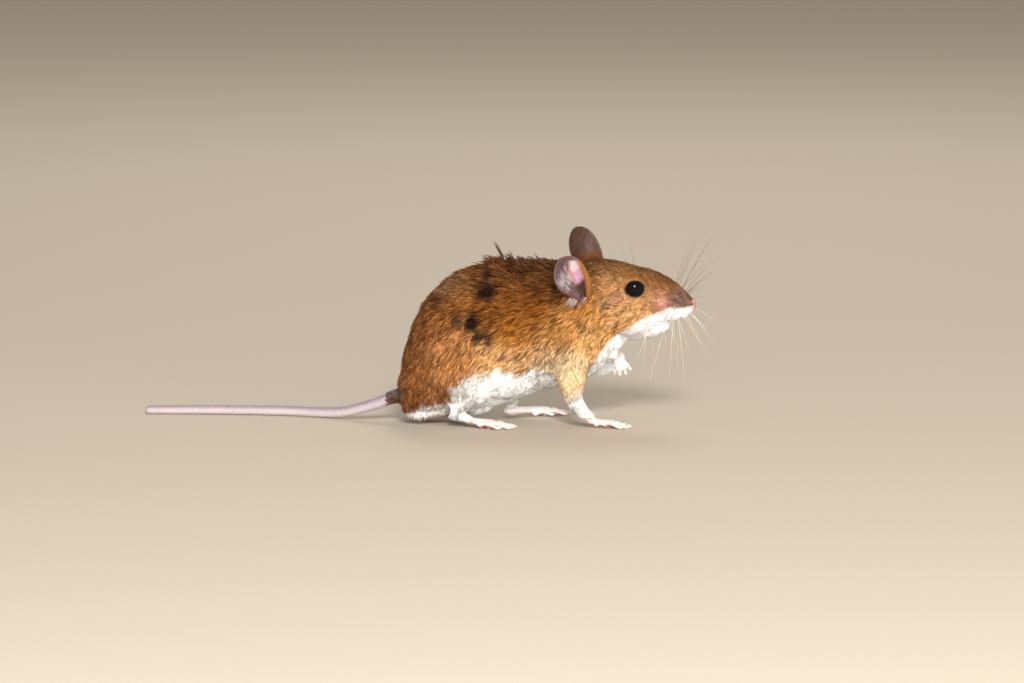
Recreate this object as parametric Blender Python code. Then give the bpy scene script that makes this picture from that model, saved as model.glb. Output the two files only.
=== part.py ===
"""A field mouse at life size, standing on three feet with its left forepaw lifted.

The mouse faces +X, its left side is +Y and it stands on z = 0. Every size is in millimetres until
the last step, which brings the meshes to metres. The surface is that of the coat's tips. The body
is lofted and blended as one skin, its triangles are thinned where it is plain, and thin cuts then
part it into its named pieces.
"""

import math

import bmesh
import bpy
import numpy as np
from mathutils import Matrix, Vector

MM = 0.001

# Gaps and mesh fineness
GAP = 0.3
BODY_VOXEL = 0.36
BODY_TRIANGLES = 5900
THINNING_CARE = 0.001

# The turn of the head about the neck: to the right, and its right ear lower than its left
NECK_PIVOT = (27.0, 0.0, 33.0)
HEAD_YAW = -10
HEAD_ROLL = 5

# Trunk from rump to throat: top x, top z, bottom x, bottom z, half width, each a slanting section
TRUNK = (
    (-26.8, 12.5, -27.0, 7.4, 3.9),
    (-26.2, 17.4, -26.2, 4.0, 8.0),
    (-24.8, 22.4, -24.6, 2.1, 11.0),
    (-22.8, 28.1, -22.0, 1.3, 12.8),
    (-19.9, 33.2, -18.4, 1.2, 14.0),
    (-15.7, 37.9, -13.5, 1.6, 14.6),
    (-10.3, 41.5, -8.1, 2.4, 14.7),
    (-3.8, 43.5, -2.7, 3.3, 14.2),
    (2.7, 44.1, 3.2, 5.0, 13.4),
    (8.6, 43.7, 9.2, 7.3, 12.3),
    (13.5, 43.5, 15.1, 8.8, 11.3),
    (18.1, 43.6, 22.1, 10.4, 10.4),
    (21.6, 44.0, 27.5, 14.0, 9.5),
    (24.8, 44.4, 31.6, 18.0, 8.9),
    (27.8, 44.8, 34.6, 21.6, 8.6),
)
# Head from nape to nose, in the same way, before it is turned
HEAD = (
    (23.0, 43.6, 27.5, 20.5, 8.4),
    (26.5, 44.6, 31.9, 19.6, 9.1),
    (30.2, 44.5, 35.6, 22.3, 9.0),
    (34.0, 43.7, 39.2, 23.6, 8.3),
    (38.1, 42.5, 41.8, 25.2, 7.0),
    (41.9, 41.2, 44.4, 26.7, 5.7),
    (45.1, 39.7, 47.0, 27.6, 4.7),
    (47.6, 38.2, 49.0, 28.3, 3.9),
    (49.8, 36.6, 50.6, 29.5, 3.0),
    (51.6, 35.0, 52.0, 30.3, 2.1),
    (52.9, 33.5, 52.8, 31.0, 1.25),
)

EYE_CENTRE = (37.2, 5.5, 37.8)
EYE_AXIS = (0.25, 0.95, 0.16)
EYE_RADIUS = 2.9
LID_RADIUS = 0.42
LID_AHEAD = 1.3
LID_STEPS = 24
LID_SIDES = 6

# Swellings of the face, each on both sides: centre, radii and turn in degrees
FACE_SWELLINGS = {
    "cheek": ((35.0, 4.4, 30.0), (6.0, 4.5, 6.0), (0, 0, 0)),
    "whisker_pad": ((46.4, 2.5, 31.2), (3.6, 2.4, 2.9), (0, 12, -14)),
    "brow": ((36.6, 3.9, 39.4), (4.0, 2.6, 1.9), (20, 12, 0)),
    "eye_mound": ((37.1, 5.1, 37.7), (4.2, 2.95, 4.2), (9, 0, -15)),
    "nostril_wing": ((51.7, 0.95, 33.2), (1.25, 0.85, 1.05), (0, 0, 0)),
}
UPPER_LIP = ((49.4, 0.0, 30.4), (2.1, 2.1, 1.6), (0, 40, 0))
LOWER_JAW = ((36.5, 0, 25.8, 3.9), (41.0, 0, 26.0, 3.1), (44.4, 0, 26.9, 2.0))

# Nostrils, the groove below the nose, and the line of the mouth from its corner forwards
NOSTRIL = (52.3, 1.2, 32.9)
NOSTRIL_RADII = (1.0, 0.42, 0.52)
PHILTRUM = ((53.4, 0, 32.2, 0.25), (52.6, 0, 30.2, 0.25), (51.2, 0, 28.6, 0.25))
MOUTH = ((42.6, 28.5), (44.5, 28.2), (46.6, 28.1), (49.5, 28.3))
MOUTH_HALF_WIDTH = 9.0

# Ears: root, tip, the way the hollow faces, half width of the sheet when flattened
EARS = {
    "ear_right": ((21.2, -8.4, 33.4), (16.0, -13.6, 46.0), (0.42, -0.9, 0.12), 6.2),
    "ear_left": ((24.2, 7.4, 38.4), (20.6, 10.8, 51.8), (0.6, 0.8, 0.1), 6.3),
}
EAR_THICKNESS = 0.6
EAR_BELLY = 1.6
EAR_CURL_ROOT = math.radians(125)
EAR_CURL_TIP = math.radians(38)

# Haunches and shoulders, in the same way, but each side on its own
BODY_SWELLINGS = (
    ("haunch_right", (-10.0, -8.6, 18.0), (12.0, 7.1, 13.4), (0, -14, 0)),
    ("haunch_left", (-7.0, 8.6, 18.0), (12.5, 7.1, 13.4), (0, -14, 0)),
    ("shoulder_right", (18.0, -5.0, 24.5), (8.0, 6.2, 10.5), (0, 18, 0)),
    ("shoulder_left", (18.0, 5.0, 24.5), (8.0, 6.2, 10.5), (0, 18, 0)),
)

# Tail along its middle, with its radius: it leaves the rump, sinks to the floor and ends blunt
TAIL = (
    (-21.0, 0.0, 9.3, 3.0),
    (-26.0, 0.0, 7.6, 2.5),
    (-29.5, 0.3, 6.3, 1.85),
    (-33.5, 1.1, 4.8, 1.6),
    (-38.0, 2.8, 3.2, 1.52),
    (-42.5, 4.9, 1.95, 1.47),
    (-48.0, 7.4, 1.35, 1.44),
    (-56.0, 10.2, 1.3, 1.4),
    (-67.0, 12.2, 1.25, 1.35),
    (-81.0, 13.4, 1.2, 1.3),
    (-95.6, 14.0, 1.15, 1.25),
)
TAIL_CUTS = (2, 7, 8.6)

# Limbs: x, y, z, radius from root to ankle or wrist
LIMBS = {
    "hindleg_right": (
        (-3.0, -9.0, 15.0, 6.0),
        (-6.0, -10.0, 10.5, 4.4),
        (-9.6, -10.4, 7.4, 3.0),
        (-11.6, -10.1, 5.2, 2.05),
        (-12.0, -9.7, 2.6, 1.85),
    ),
    "hindleg_left": (
        (9.0, 8.5, 15.0, 5.6),
        (7.5, 9.2, 11.0, 4.4),
        (5.2, 9.5, 8.0, 3.0),
        (3.5, 9.5, 5.6, 2.05),
        (3.1, 9.4, 2.8, 1.85),
    ),
    "foreleg_right": (
        (18.6, -6.0, 24.0, 6.0),
        (19.0, -8.2, 17.6, 5.0),
        (19.2, -9.8, 12.0, 4.0),
        (19.8, -10.6, 8.0, 2.8),
        (21.8, -10.6, 4.9, 2.1),
        (24.4, -10.2, 2.4, 1.7),
    ),
    "foreleg_left": (
        (19.5, 6.0, 22.0, 6.0),
        (21.0, 7.8, 16.8, 5.0),
        (25.0, 8.4, 14.2, 3.4),
        (28.8, 8.0, 13.9, 2.3),
        (31.0, 7.5, 15.0, 1.85),
        (32.4, 7.3, 17.0, 1.5),
    ),
}

# Feet: heel or wrist, turn in degrees, length to the toe tips
FEET = {
    "hindfoot_right": ("hind", (-12.1, -9.4, 1.25), (0, 0.8, -13), 16.1),
    "hindfoot_left": ("hind", (2.9, 9.4, 1.25), (0, 0.8, 13), 15.9),
    "forefoot_right": ("fore", (24.2, -10.2, 1.6), (0, 4.0, -8), 10.4),
    "forefoot_left": ("fore", (32.4, 7.4, 16.9), (70, 78, -6), 5.2),
}
# Sole as share along the foot, radius, height above its line; toes as root and tip share along,
# root and tip offset outwards from the body
SOLES = {
    "hind": ((-0.03, 1.65, 0.05), (0.12, 1.6, 0.15), (0.35, 1.6, 0.45), (0.6, 1.85, 0.25)),
    "fore": ((-0.02, 1.35, 0.0), (0.2, 1.4, 0.0), (0.42, 1.5, -0.05)),
}
TOES = {
    "hind": (
        (0.46, 0.70, -1.25, -2.7),
        (0.60, 0.94, -1.15, -1.9),
        (0.62, 1.00, -0.15, -0.2),
        (0.60, 0.96, 0.85, 1.5),
        (0.44, 0.80, 1.35, 3.0),
    ),
    "fore": (
        (0.36, 0.86, -1.0, -2.4),
        (0.42, 1.0, -0.45, -0.95),
        (0.42, 1.0, 0.35, 0.75),
        (0.34, 0.84, 1.0, 2.3),
    ),
}
TOE_RADIUS = {"hind": 0.64, "fore": 0.58}
TOE_DROP = {"hind": 0.45, "fore": 0.5}
TOE_STEPS = ((0.0, 0.3, 1.08), (0.45, 0.7, 1.0), (0.82, 0.1, 0.94), (1.0, -0.2, 0.86))

# Cuts that part the body: the neck lies between two bowls, each leg is taken out by an egg
# given as centre, radii and turn in degrees, which ends at the ankle or wrist
NECK_BOWLS = ((34.0, 0.0, 39.0), 17.5, 22.0)
BOWL_REACH = math.radians(104)
LEG_CUTS = (
    ((-9.2, -10.4, 15.6), (13.2, 7.4, 12.9), (0, 12.5, 0)),
    ((3.0, 10.4, 16.0), (12.6, 7.4, 12.9), (0, 2, 0)),
    ((20.9, -10.9, 13.3), (6.3, 5.6, 11.0), (0, -15.6, 0)),
    ((24.6, 9.2, 14.4), (8.4, 4.6, 4.3), (0, -10, -8)),
)

# One point in each piece, by which it is found among the parted ones
SEEDS = {
    "torso": (0.0, 0.0, 44.0),
    "neck": (14.0, 0.0, 44.0),
    "head": (45.0, 0.0, 40.0),
    "tail_base": (-38.0, 2.8, 4.8),
    "tail_middle": (-60.0, 11.0, 2.7),
    "tail_end": (-90.0, 14.0, 2.5),
    "hindleg_right": (-8.5, -16.5, 16.0),
    "hindleg_left": (0.5, 16.5, 16.0),
    "foreleg_right": (19.5, -14.0, 11.0),
    "foreleg_left": (26.0, 11.5, 13.5),
    "hindfoot_right": (0.0, -13.2, 2.0),
    "hindfoot_left": (14.0, 12.0, 2.0),
    "forefoot_right": (30.0, -11.0, 2.0),
    "forefoot_left": (34.0, 7.5, 13.0),
}

# Colour and roughness of each kind of surface
COLOURS = {
    "russet_fur": ((0.36, 0.15, 0.045), 0.85),
    "white_fur": ((0.78, 0.74, 0.68), 0.85),
    "pink_skin": ((0.72, 0.48, 0.42), 0.6),
    "ear_skin": ((0.40, 0.27, 0.25), 0.6),
    "eye_black": ((0.01, 0.008, 0.007), 0.08),
}
LOOKS = {
    "torso": "russet_fur",
    "neck": "russet_fur",
    "head": "russet_fur",
    "hindleg": "russet_fur",
    "foreleg": "white_fur",
    "hindfoot": "pink_skin",
    "forefoot": "pink_skin",
    "tail": "pink_skin",
    "ear": "ear_skin",
    "eye": "eye_black",
}


def smooth_rows(rows, steps):
    """Rows of numbers read from a Catmull-Rom curve through the given rows, steps to each span."""
    rows = np.asarray(rows, float)
    padded = np.vstack([2 * rows[0] - rows[1], rows, 2 * rows[-1] - rows[-2]])
    found = []
    for k in range(len(rows) - 1):
        a, b, c, d = padded[k : k + 4]
        for t in np.arange(steps) / steps:
            slope = 0.5 * t * (c - a)
            bend = t * t * (a - 2.5 * b + 2 * c - 0.5 * d)
            found.append(b + slope + bend + t**3 * (-0.5 * a + 1.5 * b - 1.5 * c + 0.5 * d))
    found.append(rows[-1])
    return np.array(found)


def object_from(name, bm):
    """A new object holding a bmesh, which is freed."""
    mesh = bpy.data.meshes.new(name)
    bm.to_mesh(mesh)
    bm.free()
    obj = bpy.data.objects.new(name, mesh)
    bpy.context.scene.collection.objects.link(obj)
    return obj


def remove(obj):
    mesh = obj.data
    bpy.data.objects.remove(obj)
    bpy.data.meshes.remove(mesh)


def loft(name, rings):
    """A closed skin over rings of points, each end closed by a fan."""
    bm = bmesh.new()
    loops = [[bm.verts.new(point) for point in ring] for ring in rings]
    for lower, upper in zip(loops, loops[1:]):
        for k in range(len(lower)):
            n = (k + 1) % len(lower)
            bm.faces.new((lower[k], lower[n], upper[n], upper[k]))
    for loop, turn in ((loops[0], -1), (loops[-1], 1)):
        middle = bm.verts.new(sum((v.co for v in loop), Vector()) / len(loop))
        for k in range(len(loop)):
            pair = (loop[k], loop[(k + 1) % len(loop)])[::turn]
            bm.faces.new((*pair, middle))
    bmesh.ops.recalc_face_normals(bm, faces=bm.faces)
    return object_from(name, bm)


def section(top_x, top_z, low_x, low_z, half_width, sides=36, sag=0.1, fullness=(1.85, 2.15)):
    """An upright egg-shaped ring, widest below its middle, with a fullness below and above it."""
    middle = np.array([(top_x + low_x) / 2, 0.0, (top_z + low_z) / 2])
    rise = np.array([(top_x - low_x) / 2, 0.0, (top_z - low_z) / 2])
    ring = []
    for k in range(sides):
        angle = 2 * math.pi * k / sides
        up, out = math.sin(angle), math.cos(angle)
        power = 2 / fullness[up > 0]
        out = math.copysign(abs(out) ** power, out)
        up = math.copysign(abs(up) ** power, up)
        ring.append(middle + up * rise + np.array([0.0, out * half_width * (1 - sag * up), 0.0]))
    return ring


def dome(rings, way, radius, steps=3):
    """The rings with a rounded end added past the last of them."""
    last = np.array(rings[-1])
    middle = last.mean(axis=0)
    added = []
    for k in range(1, steps + 1):
        angle = math.radians(80) * k / steps
        added.append(middle + (last - middle) * math.cos(angle) + way * radius * math.sin(angle))
    return list(rings) + added


def tube(name, path, steps=5, sides=16, flatten=1.0):
    """A limb, toe or tail through rows of x, y, z, radius; flatten is its height over its width."""
    rows = smooth_rows(path, steps)
    centres, radii = rows[:, :3], rows[:, 3]
    ways = np.gradient(centres, axis=0)
    ways /= np.linalg.norm(ways, axis=1)[:, None]
    turns = [2 * math.pi * k / sides for k in range(sides)]
    rings = []
    for centre, way, radius in zip(centres, ways, radii):
        across = np.cross(way, (0.3, 1.0, 0.0) if abs(way[2]) > 0.9 else (0.0, 0.0, 1.0))
        across /= np.linalg.norm(across)
        up = np.cross(across, way) * flatten
        rings.append([centre + radius * (math.cos(a) * across + math.sin(a) * up) for a in turns])
    rings = dome(rings[::-1], -ways[0], radii[0])[::-1]
    return loft(name, dome(rings, ways[-1], radii[-1]))


def egg(name, centre, radii, turn=(0, 0, 0), segments=24, rings=14):
    """An ellipsoid, turned by Euler angles in degrees."""
    bm = bmesh.new()
    bmesh.ops.create_uvsphere(bm, u_segments=segments, v_segments=rings, radius=1.0)
    obj = object_from(name, bm)
    obj.data.transform(Matrix.LocRotScale(Vector(centre), turn_of(turn), Vector(radii)))
    return obj


def turn_of(degrees):
    """The turn about X, then Y, then Z."""
    about_x, about_y, about_z = (
        Matrix.Rotation(math.radians(angle), 3, axis) for angle, axis in zip(degrees, "XYZ")
    )
    return (about_z @ about_y @ about_x).to_quaternion()


def head_turn():
    """The turn that carries the head from straight ahead to its pose."""
    pivot = Matrix.Translation(NECK_PIVOT)
    return pivot @ turn_of((HEAD_ROLL, 0, HEAD_YAW)).to_matrix().to_4x4() @ pivot.inverted()


def apply_modifiers(obj):
    """Makes what the modifiers show the object's own mesh."""
    bpy.context.view_layer.update()
    graph = bpy.context.evaluated_depsgraph_get()
    mesh = bpy.data.meshes.new_from_object(obj.evaluated_get(graph))
    old = obj.data
    obj.modifiers.clear()
    obj.data = mesh
    bpy.data.meshes.remove(old)


def joined(name, objects):
    """One object holding the meshes of all the given ones."""
    bm = bmesh.new()
    for obj in objects:
        bm.from_mesh(obj.data)
        remove(obj)
    return object_from(name, bm)


def boolean(obj, other, operation):
    modifier = obj.modifiers.new(other.name, "BOOLEAN")
    modifier.operation = operation
    modifier.solver = "EXACT"
    modifier.object = other
    apply_modifiers(obj)
    remove(other)


def part_along(obj, surface):
    """Cuts an object through along a surface, leaving a gap."""
    wall = surface.modifiers.new("gap", "SOLIDIFY")
    wall.thickness = GAP
    wall.offset = 0.0
    apply_modifiers(surface)
    boolean(obj, surface, "DIFFERENCE")


def foot_forms(name, kind, root, turn, length):
    """A foot as a flattened sole with toes and claws, from its heel or wrist."""
    side = -1 if root[1] < 0 else 1
    turn = turn_of(turn)

    def place(along, outwards, up):
        return tuple(Vector(root) + turn @ Vector((along * length, side * outwards, up)))

    sole = [(*place(along, 0.0, up), radius) for along, radius, up in SOLES[kind]]
    forms = [tube(name + "_sole", sole, flatten=0.82)]
    radius, drop = TOE_RADIUS[kind], TOE_DROP[kind]
    for start, tip, out_start, out_tip in TOES[kind]:
        toe = []
        for share, lift, thickness in TOE_STEPS:
            along = start + (tip - start) * share
            outwards = out_start + (out_tip - out_start) * share
            toe.append((*place(along, outwards, lift - drop), radius * thickness))
        forms.append(tube(name + "_toe", toe, steps=4, sides=12))
        splay = (out_tip - out_start) / ((tip - start) * length)
        claw = [
            (*place(tip + reach / length, out_tip + reach * splay, height - drop), thickness)
            for reach, height, thickness in ((0.0, 0.1, 0.44), (0.6, 0.1, 0.36), (1.05, -0.1, 0.2))
        ]
        forms.append(tube(name + "_claw", claw, steps=3, sides=8))
    return forms


def head_forms():
    """The skull and muzzle with cheeks, whisker pads, brows, lips and lower jaw, turned."""
    forms = [loft("skull", [section(*row, sag=0.08) for row in smooth_rows(HEAD, 4)])]
    for name, ((x, y, z), radii, (about_x, about_y, about_z)) in FACE_SWELLINGS.items():
        for side in (-1, 1):
            turn = (side * about_x, about_y, side * about_z)
            forms.append(egg(name, (x, side * y, z), radii, turn))
    forms += [tube("lower_jaw", LOWER_JAW), egg("upper_lip", *UPPER_LIP)]
    for form in forms:
        form.data.transform(head_turn())
    return forms


def body_forms():
    """Every form that is blended into the whole body."""
    forms = [loft("trunk", [section(*row) for row in smooth_rows(TRUNK, 4)])]
    forms += [egg(*swelling) for swelling in BODY_SWELLINGS]
    forms += [tube("tail", TAIL), *(tube(name, path) for name, path in LIMBS.items())]
    for name, foot in FEET.items():
        forms += foot_forms(name, *foot)
    return forms + head_forms()


def furred_share(x, y, z):
    """How furred a place is: 1 on the trunk, falling to 0 on the feet, the tail and the face."""
    above_feet = (z - 3.5) / 4.0
    behind_face = (38.0 - x) / 8.0
    before_tail = (x + 30.5) / 4.0
    past_paw = 0.0 if x > 27.5 and z < 18.5 else 1.0
    return min(1.0, max(0.0, min(above_feet, behind_face, before_tail, past_paw)))


def blended(name, forms):
    """One closed skin round all the forms, their meetings softened and its triangles thinned."""
    whole = joined(name, forms)
    skin = whole.modifiers.new("one_skin", "REMESH")
    skin.mode = "VOXEL"
    skin.voxel_size = BODY_VOXEL
    apply_modifiers(whole)
    furred = whole.vertex_groups.new(name="furred")
    free = whole.vertex_groups.new(name="free_to_thin")
    for vertex in whole.data.vertices:
        share = furred_share(*vertex.co)
        furred.add([vertex.index], 0.1 + 0.9 * share, "REPLACE")
        free.add([vertex.index], 0.25 + 0.75 * share, "REPLACE")
    steps_off = whole.modifiers.new("steps_off", "SMOOTH")
    steps_off.iterations = 3
    meetings = whole.modifiers.new("meetings", "SMOOTH")
    meetings.iterations = 45
    meetings.vertex_group = "furred"
    apply_modifiers(whole)
    thin = whole.modifiers.new("thin", "DECIMATE")
    thin.ratio = BODY_TRIANGLES / (2 * len(whole.data.polygons))
    thin.vertex_group = "free_to_thin"
    thin.vertex_group_factor = THINNING_CARE
    thin.use_collapse_triangulate = True
    apply_modifiers(whole)
    return whole


def disc(name, centre, normal, radius):
    bm = bmesh.new()
    bmesh.ops.create_circle(bm, cap_ends=True, segments=24, radius=radius)
    obj = object_from(name, bm)
    turn = Vector(normal).to_track_quat("Z", "Y")
    obj.data.transform(Matrix.LocRotScale(Vector(centre), turn, None))
    return obj


def bowl(name, centre, radius, sides=24, rows=8):
    """An open bowl whose hollow faces forwards."""
    bm = bmesh.new()
    rings = []
    for row in range(1, rows + 1):
        angle = BOWL_REACH * row / rows
        away, back = radius * math.sin(angle), radius * math.cos(angle)
        ring = []
        for k in range(sides):
            turn = 2 * math.pi * k / sides
            offset = Vector((-back, away * math.cos(turn), away * math.sin(turn)))
            ring.append(bm.verts.new(Vector(centre) + offset))
        rings.append(ring)
    pole = bm.verts.new(Vector(centre) - Vector((radius, 0, 0)))
    for k in range(sides):
        n = (k + 1) % sides
        bm.faces.new((pole, rings[0][k], rings[0][n]))
        for inner, outer in zip(rings, rings[1:]):
            bm.faces.new((inner[k], outer[k], outer[n], inner[n]))
    return object_from(name, bm)


def floor_block():
    """A block whose top is the floor."""
    bm = bmesh.new()
    bmesh.ops.create_cube(bm, size=1.0)
    obj = object_from("floor", bm)
    obj.data.transform(Matrix.LocRotScale(Vector((-20, 0, -4)), None, Vector((260, 120, 8))))
    return obj


def part_body(whole):
    """Makes the cuts: the floor, the tail's lengths, the neck and the four legs."""
    boolean(whole, floor_block(), "DIFFERENCE")
    tail = smooth_rows(TAIL, 10)
    for cut in TAIL_CUTS:
        row = round(cut * 10)
        way = tail[row + 1, :3] - tail[row - 1, :3]
        part_along(whole, disc("tail_cut", tail[row, :3], way, 1.9 * tail[row, 3]))
    centre, *radii = NECK_BOWLS
    for radius in radii:
        part_along(whole, bowl("neck_cut", centre, radius))
    for middle, size, turn in LEG_CUTS:
        part_along(whole, egg("leg_cut", middle, size, turn, segments=18, rings=11))


def piece_at(whole, name, seed):
    """The connected piece of a parted mesh whose vertex lies nearest a point."""
    bm = bmesh.new()
    bm.from_mesh(whole.data)
    start = min(bm.verts, key=lambda v: (v.co - Vector(seed)).length_squared)
    reached, front = {start}, [start]
    while front:
        vertex = front.pop()
        for edge in vertex.link_edges:
            other = edge.other_vert(vertex)
            if other not in reached:
                reached.add(other)
                front.append(other)
    bmesh.ops.delete(bm, geom=[v for v in bm.verts if v not in reached], context="VERTS")
    return object_from(name, bm)


def on_head(point):
    return head_turn() @ Vector(point)


def carve_face(head):
    """Rims the eyes with lids, and cuts the eye sockets, nostrils, philtrum and mouth."""
    for side in (-1, 1):
        centre = on_head((EYE_CENTRE[0], side * EYE_CENTRE[1], EYE_CENTRE[2]))
        axis = Vector((EYE_AXIS[0], side * EYE_AXIS[1], EYE_AXIS[2])).normalized()
        axis = head_turn().to_3x3() @ axis
        boolean(head, lid_ring(centre, axis), "UNION")
        socket = egg("socket", centre, [EYE_RADIUS + GAP] * 3, segments=18, rings=10)
        boolean(head, socket, "DIFFERENCE")
    cutters = []
    for side in (-1, 1):
        place = (NOSTRIL[0], side * NOSTRIL[1], NOSTRIL[2])
        cutters.append(egg("nostril", place, NOSTRIL_RADII, (0, 25, side * 35), segments=12, rings=8))
    cutters.append(tube("philtrum", PHILTRUM, steps=2, sides=8))
    cutters.append(mouth_slit())
    for cutter in cutters:
        cutter.data.transform(head_turn())
        boolean(head, cutter, "DIFFERENCE")


def lid_ring(centre, axis):
    """The lids as one rim round the eye, a gap clear of the ball."""
    clear = EYE_RADIUS + GAP + LID_RADIUS
    around = math.sqrt(clear**2 - LID_AHEAD**2)
    across = axis.orthogonal().normalized()
    up = axis.cross(across)
    rings = []
    for k in range(LID_STEPS):
        turn = 2 * math.pi * k / LID_STEPS
        way = across * math.cos(turn) + up * math.sin(turn)
        middle = centre + axis * LID_AHEAD + way * around
        ring = []
        for n in range(LID_SIDES):
            lap = 2 * math.pi * n / LID_SIDES
            ring.append(middle + LID_RADIUS * (way * math.cos(lap) + axis * math.sin(lap)))
        rings.append(ring)
    return torus_from("lids", rings)


def torus_from(name, rings):
    """A closed ring skinned over a loop of rings."""
    bm = bmesh.new()
    loops = [[bm.verts.new(point) for point in ring] for ring in rings]
    for lower, upper in zip(loops, loops[1:] + loops[:1]):
        for k in range(len(lower)):
            n = (k + 1) % len(lower)
            bm.faces.new((lower[k], lower[n], upper[n], upper[k]))
    bmesh.ops.recalc_face_normals(bm, faces=bm.faces)
    return object_from(name, bm)


def mouth_slit():
    """A thin curved plate from the corners of the mouth forwards, between the lips."""
    line = smooth_rows(MOUTH, 2)
    bm = bmesh.new()
    rows = [[bm.verts.new((x, y, z)) for y in (-MOUTH_HALF_WIDTH, MOUTH_HALF_WIDTH)] for x, z in line]
    for back, front in zip(rows, rows[1:]):
        bm.faces.new((back[0], front[0], front[1], back[1]))
    slit = object_from("mouth", bm)
    wall = slit.modifiers.new("opening", "SOLIDIFY")
    wall.thickness = GAP
    wall.offset = 0.0
    apply_modifiers(slit)
    return slit


def ear(name, root, tip, facing, half_width, rows=14, columns=14):
    """A cupped sheet, curled into a tube at its root and opening towards its rounded tip."""
    root, tip = Vector(root), Vector(tip)
    along = tip - root
    hollow = Vector(facing)
    hollow = (hollow - along * (hollow.dot(along) / along.length_squared)).normalized()
    across = along.normalized().cross(hollow)
    bm = bmesh.new()
    grid = []
    for r in range(rows + 1):
        v = math.sin(math.pi / 2 * r / rows)
        reach = half_width * math.sqrt(math.sin(math.pi * (0.12 + 0.88 * v)) + 1e-9)
        curl = EAR_CURL_ROOT + (EAR_CURL_TIP - EAR_CURL_ROOT) * v**0.8
        radius = reach / curl
        line = []
        for c in range(columns + 1):
            angle = curl * (2 * c / columns - 1)
            sideways = across * (radius * math.sin(angle))
            belly = EAR_BELLY * math.sin(math.pi * v)
            forwards = hollow * (radius * (1 - math.cos(angle)) - belly)
            line.append(bm.verts.new(root + along * v + sideways + forwards))
        grid.append(line)
    for lower, upper in zip(grid, grid[1:]):
        for c in range(columns):
            bm.faces.new((lower[c], lower[c + 1], upper[c + 1], upper[c]))
    bmesh.ops.remove_doubles(bm, verts=bm.verts, dist=0.01)
    obj = object_from(name, bm)
    sheet = obj.modifiers.new("sheet", "SOLIDIFY")
    sheet.thickness = EAR_THICKNESS
    sheet.offset = 0.0
    apply_modifiers(obj)
    return obj


def swollen(whole, amount):
    """A copy of the whole body, grown outwards along its normals."""
    grown = bpy.data.objects.new("grown", whole.data.copy())
    bpy.context.scene.collection.objects.link(grown)
    push = grown.modifiers.new("grow", "DISPLACE")
    push.strength = amount
    push.mid_level = 0.0
    apply_modifiers(grown)
    return grown


def make_ears(whole):
    """Both ears, their roots cut to the head's own surface, a gap away from it."""
    ears = []
    for name, shape in EARS.items():
        rough = ear(name + "_rough", *shape)
        boolean(rough, swollen(whole, GAP), "DIFFERENCE")
        ears.append(piece_at(rough, name, shape[1]))
        remove(rough)
    return ears


def make_eyes():
    eyes = []
    for side, name in ((-1, "eye_right"), (1, "eye_left")):
        centre = on_head((EYE_CENTRE[0], side * EYE_CENTRE[1], EYE_CENTRE[2]))
        eyes.append(egg(name, centre, [EYE_RADIUS] * 3, (0, 0, side * 75), 20, 12))
    return eyes


def material(look):
    """A surface of its own for one node."""
    (red, green, blue), roughness = COLOURS[look]
    made = bpy.data.materials.new(look)
    made.use_nodes = True
    shader = made.node_tree.nodes["Principled BSDF"]
    shader.inputs["Base Color"].default_value = (red, green, blue, 1.0)
    shader.inputs["Roughness"].default_value = roughness
    shader.inputs["Metallic"].default_value = 0.0
    return made


def finish(nodes):
    """Centres the model over the origin, brings it to metres and gives each node its surface."""
    corners = np.array([vertex.co for node in nodes for vertex in node.data.vertices])
    low, high = corners.min(axis=0), corners.max(axis=0)
    shift = Vector((-(low[0] + high[0]) / 2, -(low[1] + high[1]) / 2, 0.0))
    for node in nodes:
        node.data.transform(Matrix.Scale(MM, 4) @ Matrix.Translation(shift))
        node.data.materials.clear()
        node.data.materials.append(material(LOOKS[node.name.split("_")[0]]))
        node.data.shade_smooth()
        node.data.set_sharp_from_angle(angle=math.radians(40))
    print("moved by", tuple(round(value, 3) for value in shift), "mm to stand over the origin")
    print("length, width and height", [round(float(value), 2) for value in high - low], "mm")


def main():
    for obj in list(bpy.data.objects):
        bpy.data.objects.remove(obj)
    whole = blended("whole", body_forms())
    nodes = make_ears(whole) + make_eyes()
    part_body(whole)
    nodes += [piece_at(whole, name, seed) for name, seed in SEEDS.items()]
    remove(whole)
    carve_face(bpy.data.objects["head"])
    finish(nodes)
    for node in nodes:
        print(node.name, "faces", len(node.data.polygons))


main()
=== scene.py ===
# %% [markdown]
# # A field mouse in its coat
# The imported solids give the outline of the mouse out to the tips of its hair. This script dresses
# them: one skin that lies inside the solids by the depth of the coat, ears with their folds, feet
# with toes and claws, glossy eyes, whiskers, and a coat of many small mesh tufts that follow the
# way the hair lies. Every size is in millimetres in the maker's own axes, which run from the tail
# (-X) to the nose (+X), and is brought to the frame's metres where a mesh is made.

# %% Tools and the frame
import math

import bmesh
import bpy
import numpy as np
from mathutils import Matrix, Vector
from mathutils.bvhtree import BVHTree
from mathutils.kdtree import KDTree
from mathutils.noise import noise


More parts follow.
